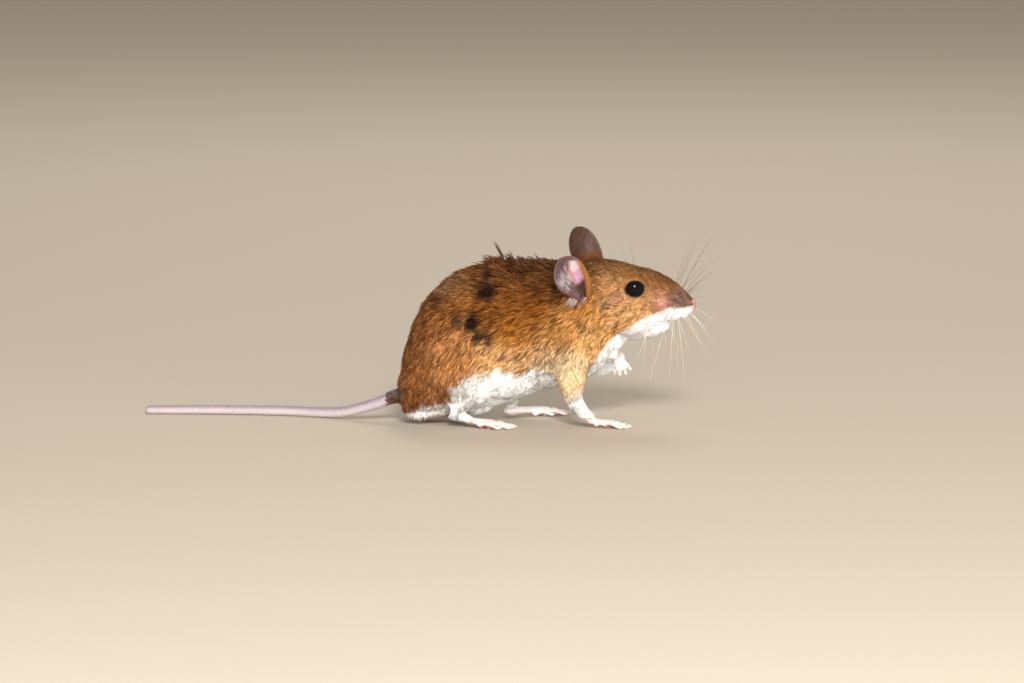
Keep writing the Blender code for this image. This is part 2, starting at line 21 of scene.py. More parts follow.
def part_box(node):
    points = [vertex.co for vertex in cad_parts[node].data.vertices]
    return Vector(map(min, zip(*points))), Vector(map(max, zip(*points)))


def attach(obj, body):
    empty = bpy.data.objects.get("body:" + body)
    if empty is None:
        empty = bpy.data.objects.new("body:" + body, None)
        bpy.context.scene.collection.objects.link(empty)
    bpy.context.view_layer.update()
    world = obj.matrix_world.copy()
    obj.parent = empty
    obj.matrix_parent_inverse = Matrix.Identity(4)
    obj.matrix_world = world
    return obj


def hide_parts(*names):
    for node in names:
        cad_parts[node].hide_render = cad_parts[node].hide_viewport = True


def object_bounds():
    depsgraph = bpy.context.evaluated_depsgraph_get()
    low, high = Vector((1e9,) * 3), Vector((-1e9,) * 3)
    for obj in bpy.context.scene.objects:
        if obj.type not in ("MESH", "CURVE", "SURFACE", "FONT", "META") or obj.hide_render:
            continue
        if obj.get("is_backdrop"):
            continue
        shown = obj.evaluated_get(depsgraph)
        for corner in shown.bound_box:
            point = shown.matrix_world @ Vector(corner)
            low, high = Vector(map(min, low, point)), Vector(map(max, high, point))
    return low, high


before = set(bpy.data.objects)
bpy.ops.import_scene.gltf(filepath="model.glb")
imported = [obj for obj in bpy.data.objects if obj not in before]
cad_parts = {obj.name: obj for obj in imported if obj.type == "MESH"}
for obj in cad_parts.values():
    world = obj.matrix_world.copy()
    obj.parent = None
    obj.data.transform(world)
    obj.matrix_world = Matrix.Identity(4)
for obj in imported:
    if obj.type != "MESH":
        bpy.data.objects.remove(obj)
cad_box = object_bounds()
print("solids", len(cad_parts), "in a box of", [round(float(v), 4) for v in cad_box[1] - cad_box[0]])

# %% The maker's axes
MM = 0.001
SHIFT = np.array((22.04, -0.003, 0.0))
NECK_PIVOT = np.array((27.0, 0.0, 33.0))
HEAD_TURN = np.array(
    Matrix.Rotation(math.radians(-10), 3, "Z") @ Matrix.Rotation(math.radians(5), 3, "X")
)


def placed(points):
    """Points in the maker's millimetres, brought to the frame's metres."""
    return (np.asarray(points, float) + SHIFT) * MM


def on_head(points):
    """Points of a head that looks straight ahead, turned about the neck as the head is."""
    return (np.asarray(points, float) - NECK_PIVOT) @ HEAD_TURN.T + NECK_PIVOT


def makers(points):
    """Points in the frame's metres, brought to the maker's millimetres."""
    return np.asarray(points, float) / MM - SHIFT


def ramp(values, start, end):
    """0 before start and 1 past end, with a soft step between them."""
    share = np.clip((np.asarray(values, float) - start) / (end - start), 0, 1)
    return share * share * (3 - 2 * share)


def between(values, rise, full, fall, end):
    """1 from full to fall and 0 outside rise and end, with soft steps."""
    return ramp(values, rise, full) * (1 - ramp(values, fall, end))


def mixed(rows, others, share):
    """Rows of numbers moved towards others by a share of the way for each row."""
    return rows + (np.array(others) - rows) * np.asarray(share)[:, None]


def folded(places):
    """Places of both sides brought to the left one."""
    return places * (1, 0, 1) + np.abs(places * (0, 1, 0))


def head_share(places):
    """1 where a place belongs to the turned head, 0 on the trunk and legs."""
    return ramp(places[:, 0], 22, 32) * ramp(places[:, 2], 18, 23)


def own_places(points):
    """The maker's millimetres of frame points, with the head's turn taken out."""
    places = makers(points)
    straight = (places - NECK_PIVOT) @ HEAD_TURN + NECK_PIVOT
    return mixed(places, straight, head_share(places))


EYE_CENTRE = np.array((37.2, 5.5, 37.8))


def eye_middle(side):
    """The middle of the right eye for -1 and of the left one for 1, on the turned head."""
    return on_head(EYE_CENTRE * (1, side, 1))


eye_seen = np.array(sum(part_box("eye_right"), Vector()) / 2)
eye_gap = float(np.linalg.norm(eye_seen - placed(eye_middle(-1)))) / MM
print("the right eye is", round(eye_gap, 3), "mm from its named place")

# %% [markdown]
# ## Camera, floor and light
# The photograph was taken from the mouse's right side, a little above its back, with a long lens
# that flattens perspective. A camera far away with a 200 mm lens gives the same drawing. The mouse
# stands on a plain pale floor. A soft light from the front and above shades it and shows in its
# eye. Three wide low ones in front and one behind fill the shadows and don't show in the eye.

# %% Camera
PIXEL = 0.27
FRAME_WIDTH = 1024
LENS, SENSOR = 200, 36
VIEW_TARGET = (3.24, 0.0, 21.9)
VIEW_RISE = math.radians(8)

camera = bpy.data.objects.new("camera", bpy.data.cameras.new("camera"))
bpy.context.scene.collection.objects.link(camera)
bpy.context.scene.camera = camera
camera.data.lens = LENS
camera.data.sensor_width = SENSOR
camera.data.clip_start, camera.data.clip_end = 0.05, 20
view_back = Vector((0.0, -math.cos(VIEW_RISE), math.sin(VIEW_RISE)))
view_distance = FRAME_WIDTH * PIXEL * MM * LENS / SENSOR
camera.location = Vector(placed(VIEW_TARGET)) + view_back * view_distance
camera.rotation_mode = "QUATERNION"
camera.rotation_quaternion = (-view_back).to_track_quat("-Z", "Y")
print("the camera stands", round(view_distance, 3), "m away")


# %% Objects, materials and node trees
def object_of(name, points, faces, finish=None, smooth=True):
    """A new mesh object from points in metres, its faces turned outwards."""
    mesh = bpy.data.meshes.new(name)
    mesh.from_pydata([tuple(point) for point in points], [], [tuple(face) for face in faces])
    bm = bmesh.new()
    bm.from_mesh(mesh)
    bmesh.ops.recalc_face_normals(bm, faces=bm.faces)
    bm.to_mesh(mesh)
    bm.free()
    if smooth:
        mesh.shade_smooth()
    if finish:
        mesh.materials.append(finish)
    obj = bpy.data.objects.new(name, mesh)
    bpy.context.scene.collection.objects.link(obj)
    return obj


def socket(sockets, key):
    """A node's socket by its number, identifier or name."""
    if isinstance(key, int):
        return sockets[key]
    return {item.identifier: item for item in sockets}.get(key) or sockets[key]


def node(tree, kind, values=(), **settings):
    """A new node with its settings, its inputs linked or set to constant values."""
    made = tree.nodes.new(kind)
    for key, value in settings.items():
        setattr(made, key, value)
    for key, value in dict(values).items():
        if isinstance(value, bpy.types.NodeSocket):
            tree.links.new(value, socket(made.inputs, key))
        else:
            socket(made.inputs, key).default_value = value
    return made


def sums(tree, operation, *numbers):
    """One step of arithmetic on numbers."""
    return node(tree, "ShaderNodeMath", enumerate(numbers), operation=operation).outputs[0]


def product(tree, *numbers):
    """Numbers multiplied one after another."""
    result = numbers[0]
    for number in numbers[1:]:
        result = sums(tree, "MULTIPLY", result, number)
    return result


def arrows(tree, operation, first, second):
    """One step of arithmetic on vectors; SCALE takes a number as its second."""
    values = {0: first, ("Scale" if operation == "SCALE" else 1): second}
    return node(tree, "ShaderNodeVectorMath", values, operation=operation).outputs[0]


def stretched(tree, value, low, high, to_low, to_high):
    """A number brought from one range to another."""
    values = {"Value": value, "From Min": low, "From Max": high, "To Min": to_low, "To Max": to_high}
    return node(tree, "ShaderNodeMapRange", values).outputs[0]


def look_up(tree, name):
    """An attribute that a material reads from the mesh, as a number, or the tint as a colour."""
    made = node(tree, "ShaderNodeAttribute", attribute_name=name)
    return made.outputs["Color" if name == "tint" else "Fac"]


def shown(red, green, blue):
    """A colour as a screen shows it, from 0 to 255, as the linear light that a shader takes."""
    parts = np.array((red, green, blue), float) / 255
    return tuple(np.where(parts <= 0.04045, parts / 12.92, ((parts + 0.055) / 1.055) ** 2.4))


def new_material(name):
    """An empty material with its shader, and that shader's tree."""
    material = bpy.data.materials.new(name)
    material.use_nodes = True
    tree = material.node_tree
    return material, tree, tree.nodes["Principled BSDF"]


def set_finish(shader, roughness, shine):
    """Sets how rough and how shiny a material is."""
    shader.inputs["Roughness"].default_value = roughness
    shader.inputs["Specular IOR Level"].default_value = shine


def plain_material(name, colour, roughness, shine=0.5):
    """A material of one colour."""
    material, _, shader = new_material(name)
    set_finish(shader, roughness, shine)
    shader.inputs["Base Color"].default_value = (*colour, 1)
    return material


# %% Floor and lights
FLOOR_REACH = 3.0
LIGHTS_AIM = Vector((0.01, 0.0, 0.025))
WORLD_STRENGTH = 0.62


def lamp(name, place, size, power, glossy=False):
    """A round soft light that shines at the mouse, and shows in its eye if it is glossy."""
    light = bpy.data.lights.new(name, "AREA")
    light.shape, light.size, light.energy = "DISK", size, power
    obj = bpy.data.objects.new(name, light)
    obj.location = place
    obj.visible_glossy = glossy
    obj.rotation_mode = "QUATERNION"
    obj.rotation_quaternion = (LIGHTS_AIM - Vector(place)).to_track_quat("-Z", "Y")
    bpy.context.scene.collection.objects.link(obj)


ground = [(x * FLOOR_REACH, y * FLOOR_REACH, 0.0) for x, y in ((-1, -1), (1, -1), (1, 1), (-1, 1))]
floor_finish = plain_material("pale floor", shown(178, 166, 150), 0.75)
floor = object_of("floor", ground, [(0, 1, 2, 3)], floor_finish, smooth=False)
floor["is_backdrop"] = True

lamp("main_light", (0.12, -0.95, 0.62), 0.26, 12.6, glossy=True)
lamp("fill_light", (0.05, -1.1, 0.08), 0.7, 12.5)
lamp("low_light_fore", (0.6, -0.75, 0.04), 0.5, 4.5)
lamp("low_light_rear", (-0.5, -0.85, 0.04), 0.5, 3.0)
lamp("back_light", (0.1, 0.7, 0.75), 0.5, 4.0)
world = bpy.data.worlds.new("studio")
world.use_nodes = True
sky = world.node_tree.nodes["Background"].inputs
sky["Color"].default_value = (*shown(232, 226, 216), 1)
sky["Strength"].default_value = WORLD_STRENGTH
bpy.context.scene.world = world
bpy.context.scene.view_settings.view_transform = "Standard"

# %% [markdown]
# ## Forms that limbs are made of
# Toes, claws, tail and whiskers are all tapering tubes along a bent path, so one function makes
# them: it reads a smooth curve through a few rows of x, y, z and radius and skins rings round it.
# Pads and knuckles are ellipsoids. Everything that is flesh is later melted into one skin, so these
# forms may run into each other freely.


# %% Tubes and eggs
DOME_ANGLE = math.radians(80)


def smooth_rows(rows, steps):
    """Rows of numbers read from a Catmull-Rom curve through the given rows, steps to each span."""
    rows = np.asarray(rows, float)
    padded = np.vstack([2 * rows[0] - rows[1], rows, 2 * rows[-1] - rows[-2]])
    found = []
    for k in range(len(rows) - 1):
        a, b, c, d = padded[k : k + 4]
        for t in np.arange(steps) / steps:
            bend = t * t * (a - 2.5 * b + 2 * c - 0.5 * d)
            found.append(b + 0.5 * t * (c - a) + bend + t**3 * (-0.5 * a + 1.5 * b - 1.5 * c + 0.5 * d))
    found.append(rows[-1])
    return np.array(found)


def skinned(rings):
    """Points and faces of a closed skin over rings of points, each end closed by a fan."""
    rings = np.asarray(rings, float)
    count, sides = rings.shape[:2]
    points = [*rings.reshape(-1, 3), rings[0].mean(0), rings[-1].mean(0)]
    faces = []
    for k in range(sides):
        n = (k + 1) % sides
        for r in range(0, (count - 1) * sides, sides):
            faces.append((r + k, r + sides + k, r + sides + n, r + n))
        faces.append((k, n, count * sides))
        faces.append(((count - 1) * sides + n, (count - 1) * sides + k, count * sides + 1))
    return points, faces


def tube(path, sides=12, steps=5, flatten=1.0, domes=3):
    """A tapering tube through rows of x, y, z, radius; flatten is its height over its width."""
    rows = smooth_rows(path, steps)
    centres, radii = rows[:, :3], rows[:, 3]
    ways = np.gradient(centres, axis=0)
    ways /= np.linalg.norm(ways, axis=1)[:, None]
    turns = 2 * np.pi * np.arange(sides)[:, None] / sides
    rings = []
    for centre, way, radius in zip(centres, ways, radii):
        across = np.cross(way, (0.3, 1.0, 0.0) if abs(way[2]) > 0.9 else (0.0, 0.0, 1.0))
        across /= np.linalg.norm(across)
        up = np.cross(across, way) * flatten
        rings.append(centre + radius * (np.cos(turns) * across + np.sin(turns) * up))
    first, last, near, far = centres[0], centres[-1], rings[0], rings[-1]
    for k in range(1, domes + 1):
        lap = DOME_ANGLE * k / domes
        shrink, reach = math.cos(lap), math.sin(lap)
        rings.insert(0, first + (near - first) * shrink - ways[0] * radii[0] * reach)
        rings.append(last + (far - last) * shrink + ways[-1] * radii[-1] * reach)
    return skinned(rings)


def spin_of(turn):
    """A turn by three angles in degrees, first about x and last about z."""
    spin = np.eye(3)
    for angle, axis in zip(turn, "XYZ"):
        spin = np.array(Matrix.Rotation(math.radians(angle), 3, axis)) @ spin
    return spin


def egg(centre, radii, turn=(0, 0, 0), segments=20, rings=12):
    """An ellipsoid as a skin over rings, turned by angles in degrees."""
    spin = spin_of(turn)
    laps = 2 * np.pi * np.arange(segments) / segments
    made = []
    for k in range(1, rings):
        fall = math.pi * k / rings
        round_it = np.sin(fall) * np.cos(laps), -np.sin(fall) * np.sin(laps)
        ring = np.stack([*round_it, np.full(segments, -math.cos(fall))], 1)
        made.append((ring * radii) @ spin.T + np.asarray(centre, float))
    return skinned(made)


def gathered(shapes):
    """The points and faces of many shapes as one list of each."""
    points, faces = [], []
    for some_points, some_faces in shapes:
        start = len(points)
        points.extend(some_points)
        faces.extend(tuple(start + k for k in face) for face in some_faces)
    return np.array(points), faces


def piece_of(name, shapes, finish=None):
    """One object of many shapes whose points are in the maker's millimetres."""
    points, faces = gathered(shapes)
    return object_of(name, placed(points), faces, finish)


# %% [markdown]
# ## Feet, toes and claws
# A mouse walks on five hind toes and four front ones. Each toe has two knuckles, a soft pad under
# its tip and a small pale claw, and the sole bulges into pads behind the toes. The feet stand where
# the solids' feet stand, so their roots, turns and lengths repeat the solids' named sizes, while the
# knuckles and pads are new. The left forepaw is lifted and its toes hang down.

# %% Foot sizes: kind, root, turn in degrees, length, size of the claws, how far the heel is lifted
FEET = {
    "hindfoot_right": ("hind", (-12.1, -9.4, 1.25), (0, 0.8, -13), 16.1, 0.8, 1.9),
    "hindfoot_left": ("hind", (2.9, 9.4, 1.25), (0, 0.8, 13), 15.9, 0.8, 0.3),
    "forefoot_right": ("fore", (24.2, -10.2, 1.6), (0, 4.0, -8), 10.4, 0.75, 0.3),
    "forefoot_left": ("fore", (32.4, 7.4, 16.9), (70, 78, -6), 5.2, 0.4, 0.0),
}
SOLES = {
    "hind": ((-0.03, 1.6, 0.1), (0.12, 1.5, 0.25), (0.35, 1.45, 0.55), (0.6, 1.7, 0.4)),
    "fore": ((-0.02, 1.3, 0.0), (0.2, 1.3, 0.05), (0.42, 1.4, 0.0)),
}
SOLE_FLATNESS = 0.78
# Toes as root and tip share along the foot, then root and tip offset outwards from the body
TOES = {
    "hind": (
        (0.46, 0.70, -1.25, -2.7),
        (0.60, 0.94, -1.15, -1.9),
        (0.62, 1.00, -0.15, -0.2),
        (0.60, 0.96, 0.85, 1.5),
        (0.44, 0.80, 1.35, 3.0),
    ),
    "fore": (
        (0.36, 0.86, -1.0, -2.4),
        (0.42, 1.0, -0.45, -0.95),
        (0.42, 1.0, 0.35, 0.75),
        (0.34, 0.84, 1.0, 2.3),
    ),
}
TOE_RADIUS = {"hind": 0.62, "fore": 0.56}
TOE_DROP = {"hind": 0.45, "fore": 0.5}
# Along a toe: share, lift, thickness. It swells at two knuckles and narrows between them
TOE_STEPS = (
    (0.0, 0.35, 1.08),
    (0.25, 0.62, 0.86),
    (0.45, 0.72, 1.02),
    (0.66, 0.32, 0.78),
    (0.86, 0.02, 0.98),
    (1.0, -0.12, 0.8),
)
PADS = {
    "hind": ((0.42, -1.0, 0.75), (0.46, 0.9, 0.75), (0.6, -1.1, 0.8), (0.62, 0.0, 0.85), (0.6, 1.1, 0.8)),
    "fore": ((0.16, -0.7, 0.6), (0.18, 0.7, 0.6), (0.42, -0.7, 0.65), (0.45, 0.1, 0.65), (0.42, 0.8, 0.6)),
}
PAD_SINK, PAD_WIDTH, PAD_HEIGHT = 0.25, 0.8, 0.5
# Along a claw: reach, height and radius
CLAW_STEPS = ((-0.3, 0.22, 0.24), (0.3, 0.3, 0.23), (0.8, 0.16, 0.15), (1.25, -0.14, 0.05))


# %% Feet as flesh, claws as horn
def foot_forms(kind, root, turn, length, claw_size, heel_lift):
    """The flesh forms of one foot, and its claws."""
    side = -1 if root[1] < 0 else 1
    spin = spin_of(turn)

    def place(along, outwards, up):
        return tuple(np.array(root) + spin @ np.array((along * length, side * outwards, up)))

    sole = []
    for along, radius, up in SOLES[kind]:
        lifted = up + heel_lift * (1 - float(ramp(along, -0.1, 0.45)))
        sole.append((*place(along, 0.0, lifted), radius))
    flesh = [tube(sole, sides=20, flatten=SOLE_FLATNESS)]
    drop = TOE_DROP[kind]
    for along, outwards, size in PADS[kind]:
        centre = place(along, outwards, -drop - PAD_SINK)
        flesh.append(egg(centre, (size, size * PAD_WIDTH, PAD_HEIGHT), turn, 12, 8))
    claws = []
    for start, tip, out_start, out_tip in TOES[kind]:
        toe = []
        for share, lift, thickness in TOE_STEPS:
            along = start + (tip - start) * share
            outwards = out_start + (out_tip - out_start) * share
            toe.append((*place(along, outwards, lift - drop), TOE_RADIUS[kind] * thickness))
        flesh.append(tube(toe, sides=14, steps=4))
        splay = (out_tip - out_start) / ((tip - start) * length)
        claw = []
        for reach, height, radius in CLAW_STEPS:
            ahead = claw_size * reach
            claw.append((*place(tip + ahead / length, out_tip + ahead * splay, height - drop), radius))
        claws.append(tube(claw, sides=8, steps=3, flatten=1.3, domes=1))
    return flesh, claws


flesh_forms, claw_forms = [], []
for shape in FEET.values():
    some_flesh, some_claws = foot_forms(*shape)
    flesh_forms += some_flesh
    claw_forms += some_claws
print(len(flesh_forms), "foot forms and", len(claw_forms), "claws")

# %% [markdown]
# ## Tail
# The tail is bare, pale and ringed, and ends blunt. It leaves the rump, sinks to the floor and lies
# on it in one long curve. Its path and thickness repeat the solids' named sizes.

# %% Tail form
TAIL = (
    (-21.0, 0.0, 9.3, 2.6),
    (-26.0, 0.0, 7.6, 2.2),
    (-29.5, 0.3, 6.3, 1.75),
    (-33.5, 1.1, 4.8, 1.55),
    (-38.0, 2.8, 3.2, 1.48),
    (-42.5, 4.9, 1.95, 1.43),
    (-48.0, 7.4, 1.4, 1.4),
    (-56.0, 10.2, 1.36, 1.36),
    (-67.0, 12.2, 1.3, 1.3),
    (-81.0, 13.4, 1.25, 1.25),
    (-95.6, 14.0, 1.15, 1.18),
)
flesh_forms.append(tube(TAIL, sides=28, steps=10, domes=5))
tail_line = smooth_rows(TAIL, 10)

# %% Ankles, and balls that close the eye sockets
ANKLES = (
    ((-11.4, -10.3, 7.4, 2.2), (-12.0, -10.0, 5.2, 2.0), (-11.3, -9.7, 3.7, 1.85), (-8.8, -9.1, 2.4, 1.4)),
    ((3.5, 9.5, 5.6, 1.75), (3.1, 9.4, 2.9, 1.6), (3.2, 9.4, 1.5, 1.4)),
    ((21.0, -10.6, 5.9, 2.0), (23.6, -10.4, 3.0, 1.5), (25.2, -10.1, 1.7, 1.2)),
    ((27.0, 8.1, 14.0, 2.3), (30.4, 7.6, 14.7, 1.65), (32.4, 7.4, 16.6, 1.35)),
)
CHEST = ((22.5, 4.5, 17.5), (5.0, 5.5, 4.0))
EYE_RADIUS = 2.95
SOCKET_RADIUS = EYE_RADIUS + 0.1
flesh_forms += [tube(rows, sides=20) for rows in ANKLES]
flesh_forms.append(egg(*CHEST))
for side in (-1, 1):
    flesh_forms.append(egg(eye_middle(side), (SOCKET_RADIUS,) * 3, segments=40, rings=24))

# %% [markdown]
# ## The skin
# Flesh is one piece on the animal, so one skin takes the place of all the flesh solids. Each solid
# is copied, grown until the thin cuts between neighbours close, and joined with the feet, tail and
# lids. A voxel remesh melts them into one closed surface, which is smoothed. Where there is fur the
# skin is then drawn back inside by the depth of the coat, so that the hair's tips end where the
# solids do.

# %% Melting the flesh together
FURRED_NODES = ("torso", "neck", "head", "hindleg_right", "hindleg_left", "foreleg_right", "foreleg_left")
CLOSING = 0.2
FLOOR_LIFT = 0.00002
SKIN_VOXEL = 0.24


def grown_copy(name, amount):
    """Points and faces of a solid, its loose triangles merged, grown outwards."""
    bm = bmesh.new()
    bm.from_mesh(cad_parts[name].data)
    bmesh.ops.remove_doubles(bm, verts=bm.verts, dist=2e-6)
    bm.normal_update()
    bm.verts.index_update()
    points = [np.array(v.co + v.normal * amount) for v in bm.verts]
    faces = [tuple(v.index for v in face.verts) for face in bm.faces]
    bm.free()
    return points, faces


def evaluated_mesh(obj):
    """What an object's modifiers show, as a new mesh."""
    bpy.context.view_layer.update()
    graph = bpy.context.evaluated_depsgraph_get()
    return bpy.data.meshes.new_from_object(obj.evaluated_get(graph))


def apply_modifiers(obj):
    """Makes what the modifiers show the object's own mesh."""
    mesh, old = evaluated_mesh(obj), obj.data
    obj.modifiers.clear()
    obj.data = mesh
    bpy.data.meshes.remove(old)


def even_out(obj, rounds, factor=0.5, group=""):
    """Smooths a skin, everywhere or as much as a group of its points says."""
    even = obj.modifiers.new("even", "SMOOTH")
    even.iterations, even.factor, even.vertex_group = rounds, factor, group
    apply_modifiers(obj)


def vectors_of(items, field):
    """A vector field of all of a mesh's items as an array."""
    flat = np.empty(len(items) * 3, np.float32)
    items.foreach_get(field, flat)
    return flat.reshape(-1, 3).astype(float)


def points_of(obj):
    """An object's vertices as an array, in metres."""
    return vectors_of(obj.data.vertices, "co")


def normals_of(obj):
    """The way that each of an object's vertices faces."""
    return vectors_of(obj.data.vertex_normals, "vector")


def move_to(obj, points):
    """Gives an object's vertices new places, none below the floor."""
    points[:, 2] = np.maximum(points[:, 2], FLOOR_LIFT)
    obj.data.vertices.foreach_set("co", points.astype(np.float32).ravel())
    obj.data.update()


def keep_largest(obj):
    """Drops every shell of a mesh but the largest."""
    bm = bmesh.new()
    bm.from_mesh(obj.data)
    left, shells = set(bm.verts), []
    while left:
        front = [left.pop()]
        shell = set(front)
        while front:
            for edge in front.pop().link_edges:
                for vertex in edge.verts:
                    if vertex in left:
                        left.discard(vertex)
                        shell.add(vertex)
                        front.append(vertex)
        shells.append(shell)
    largest = max(shells, key=len)
    loose = [v for v in bm.verts if v not in largest]
    bmesh.ops.delete(bm, geom=loose, context="VERTS")
    bm.to_mesh(obj.data)
    bm.free()
    return len(shells)


flesh_points, flesh_faces = gathered(flesh_forms)
melted = [(placed(flesh_points), flesh_faces)] + [grown_copy(name, CLOSING * MM) for name in FURRED_NODES]
skin = object_of("skin", *gathered(melted))
melt = skin.modifiers.new("melt", "REMESH")
melt.mode = "VOXEL"
melt.voxel_size = SKIN_VOXEL * MM
apply_modifiers(skin)
print("shells after the melt", keep_largest(skin))
even_out(skin, 5)
print("skin", len(skin.data.polygons), "faces")

# %% [markdown]
# ## A map of the coat
# Hair differs from place to place: short and dense on the face, long on the back, lying backwards
# along the spine and downwards on the haunch, dark on the nape and golden on the shoulder. A few
# named places on the body hold what the coat is like there: the way the hair lies, the coat's
# depth, the hair's length and its colour. Every point of the skin takes a mean of them, in which
# near places count most. The left side mirrors the right.

# %% Places of the coat: place, lie, depth, length, colour as shown on a screen
COAT = {
    "crown": ((31, 3, 44), (-1, 0, -0.05), 1.1, 2.6, (152, 104, 66)),
    "crown_top": ((30, 0, 46), (-1, 0, 0), 1.1, 2.4, (92, 60, 40)),
    "brow_top": ((39, 0, 43.5), (-1, 0, 0.2), 0.8, 1.8, (116, 74, 42)),
    "forehead": ((38, 2.5, 42.5), (-0.95, 0, 0.3), 0.85, 2.0, (158, 108, 66)),
    "snout_top": ((45.5, 1.5, 39.5), (-0.85, 0.1, 0.5), 0.3, 1.4, (128, 80, 42)),
    "snout_side": ((45, 4.5, 35.5), (-1, 0.2, 0.1), 0.45, 1.3, (190, 134, 82)),
    "whisker_pad": ((48.5, 3, 32.5), (-0.9, 0.3, -0.1), 0.15, 0.9, (118, 88, 72)),
    "lip": ((46, 3, 29.5), (-0.9, 0.1, -0.2), 0.4, 1.1, (205, 150, 110)),
    "chin": ((44, 1, 26), (-0.8, 0, -0.4), 0.6, 1.6, (205, 150, 110)),
    "above_eye": ((37, 5, 42), (-1, 0.1, 0.05), 0.7, 1.8, (180, 120, 62)),
    "behind_eye": ((32, 8, 38), (-1, 0.1, -0.15), 0.9, 2.2, (208, 152, 98)),
    "below_eye": ((37, 8, 33.5), (-0.9, 0.15, -0.35), 0.9, 2.0, (228, 172, 112)),
    "cheek": ((34, 9, 31), (-0.85, 0.1, -0.5), 1.1, 2.6, (240, 184, 126)),
    "jaw": ((37, 6, 27), (-0.8, 0, -0.5), 0.9, 2.4, (236, 180, 120)),
    "cheek_rear": ((27, 9.5, 32), (-0.75, 0, -0.65), 1.3, 3.0, (228, 166, 92)),
    "below_ear": ((23, 10, 33), (-0.7, 0, -0.7), 1.4, 3.2, (184, 118, 52)),
    "throat": ((31, 4, 22), (-0.6, 0, -0.75), 1.2, 3.0, (226, 166, 98)),
    "nape": ((17, 3, 43.5), (-1, 0, 0), 1.9, 4.2, (74, 42, 19)),
    "nape_side": ((13, 10, 37), (-0.95, 0, -0.3), 2.0, 4.2, (90, 50, 20)),
    "shoulder": ((18, 11, 27), (-0.65, 0, -0.75), 1.8, 3.8, (208, 148, 80)),
    "neck_low": ((25, 8.5, 24), (-0.5, 0, -0.85), 1.5, 3.4, (240, 184, 112)),
    "chest": ((27, 4, 16), (-0.5, 0, -0.85), 1.3, 3.4, (228, 168, 100)),
    "upper_arm": ((19, 12, 13), (-0.15, 0, -1), 0.9, 2.4, (255, 226, 176)),
    "elbow": ((15.4, 12.5, 11.5), (-0.2, 0, -1), 0.8, 2.2, (255, 232, 190)),
    "forearm": ((21, 11.5, 7), (0.3, 0, -1), 0.3, 1.3, (248, 230, 210)),
    "raised_arm": ((28, 8, 14.5), (0.8, 0, 0.2), 0.3, 1.3, (235, 205, 175)),
    "back_fore": ((5, 3, 44), (-1, 0, 0), 2.2, 4.6, (84, 48, 21)),
    "back": ((-5, 3, 43), (-1, 0, -0.1), 2.2, 4.8, (104, 62, 29)),
    "back_rear": ((-14, 4, 38), (-0.85, 0, -0.5), 2.1, 4.6, (134, 92, 56)),
    "flank_fore": ((10, 12, 32), (-0.9, 0, -0.4), 2.0, 4.2, (148, 86, 26)),
    "flank_high": ((-3, 12.5, 34), (-0.95, 0, -0.3), 2.0, 4.4, (142, 84, 32)),
    "flank": ((2, 14, 26), (-0.85, 0, -0.5), 2.0, 4.2, (180, 112, 34)),
    "flank_low": ((0, 14, 18.5), (-0.8, 0, -0.6), 1.7, 3.8, (255, 200, 132)),
    "belly_side": ((2, 12, 11), (-0.95, 0, -0.3), 1.4, 3.4, (222, 164, 100)),
    "belly": ((0, 4, 5), (-1, 0, 0), 1.4, 3.4, (222, 164, 100)),
    "haunch_high": ((-14, 13, 31), (-0.6, 0, -0.8), 1.9, 4.2, (160, 100, 48)),
    "haunch": ((-12, 15.5, 20), (-0.4, 0, -0.9), 1.7, 3.8, (208, 144, 84)),
    "rump_high": ((-22, 7, 27), (-0.4, 0, -0.9), 2.0, 4.2, (132, 82, 42)),
    "rump": ((-25, 6, 16), (-0.2, 0, -1), 1.8, 3.8, (150, 94, 48)),
    "rump_low": ((-24, 7, 8), (-0.3, 0, -0.95), 1.4, 3.2, (168, 108, 62)),
    "thigh_low": ((-15, 12, 6), (-0.2, 0, -1), 0.8, 2.2, (182, 120, 66)),
    "shin": ((-11, 10, 4), (0.1, 0, -1), 0.3, 1.2, (200, 150, 110)),
    "left_shin": ((4, 9.5, 5), (0.1, 0, -1), 0.3, 1.2, (200, 150, 110)),
    "tail_root": ((-29.5, 1, 6.5), (-1, 0, -0.4), 0.35, 1.6, (120, 84, 62)),
}
PLACE_SOFTNESS, PLACE_FADING = 3.0, -2.5


def coat_at(places):
    """Lie, depth, length and colour of the coat at places on the body."""
    centres = np.array([row[0] for row in COAT.values()], float)
    facts = np.array([(*row[1], row[2], row[3], *shown(*row[4])) for row in COAT.values()])
    away = ((folded(places)[:, None] - centres) ** 2).sum(2)
    weights = (away + PLACE_SOFTNESS**2) ** PLACE_FADING
    mean = (weights @ facts) / weights.sum(1)[:, None]
    mean[:, 1] *= np.sign(places[:, 1])
    return mean[:, :3], mean[:, 3], mean[:, 4], mean[:, 5:8]


def spot(places, centre, reach):
    """1 at a centre, falling softly to 0 at about reach from it, the same on both sides."""
    return np.exp(-((((folded(places) - centre) / reach) ** 2).sum(1)) * 1.4)


# %% Where the skin is bare
NOSE_TIP = (52.6, 0.0, 32.6)
TAIL_FUR = (-31.5, -28.5)


def nose_distance(places):
    """How far a place is from the tip of the nose, a little less to its sides."""
    return np.linalg.norm((places - NOSE_TIP) * (1.0, 0.8, 0.9), axis=1)


def paw_at(x, z):
    """1 on the lifted forepaw."""
    return ramp(x, 29.5, 31.5) * (1 - ramp(z, 18.2, 19.2))


def eye_distance(places):
    """How far a place is from the nearer eye's middle, with the head's turn taken out."""
    return np.linalg.norm(folded(places) - EYE_CENTRE, axis=1)


def heel_at(places):
    """1 on the lifted heel of the near hind foot, which is furred down to its sole."""
    x, y, z = places.T
    return (1 - ramp(x, -9.4, -7.4)) * ramp(x, -15.6, -14.6) * (y < -7.6) * ramp(z, 0.7, 1.5)


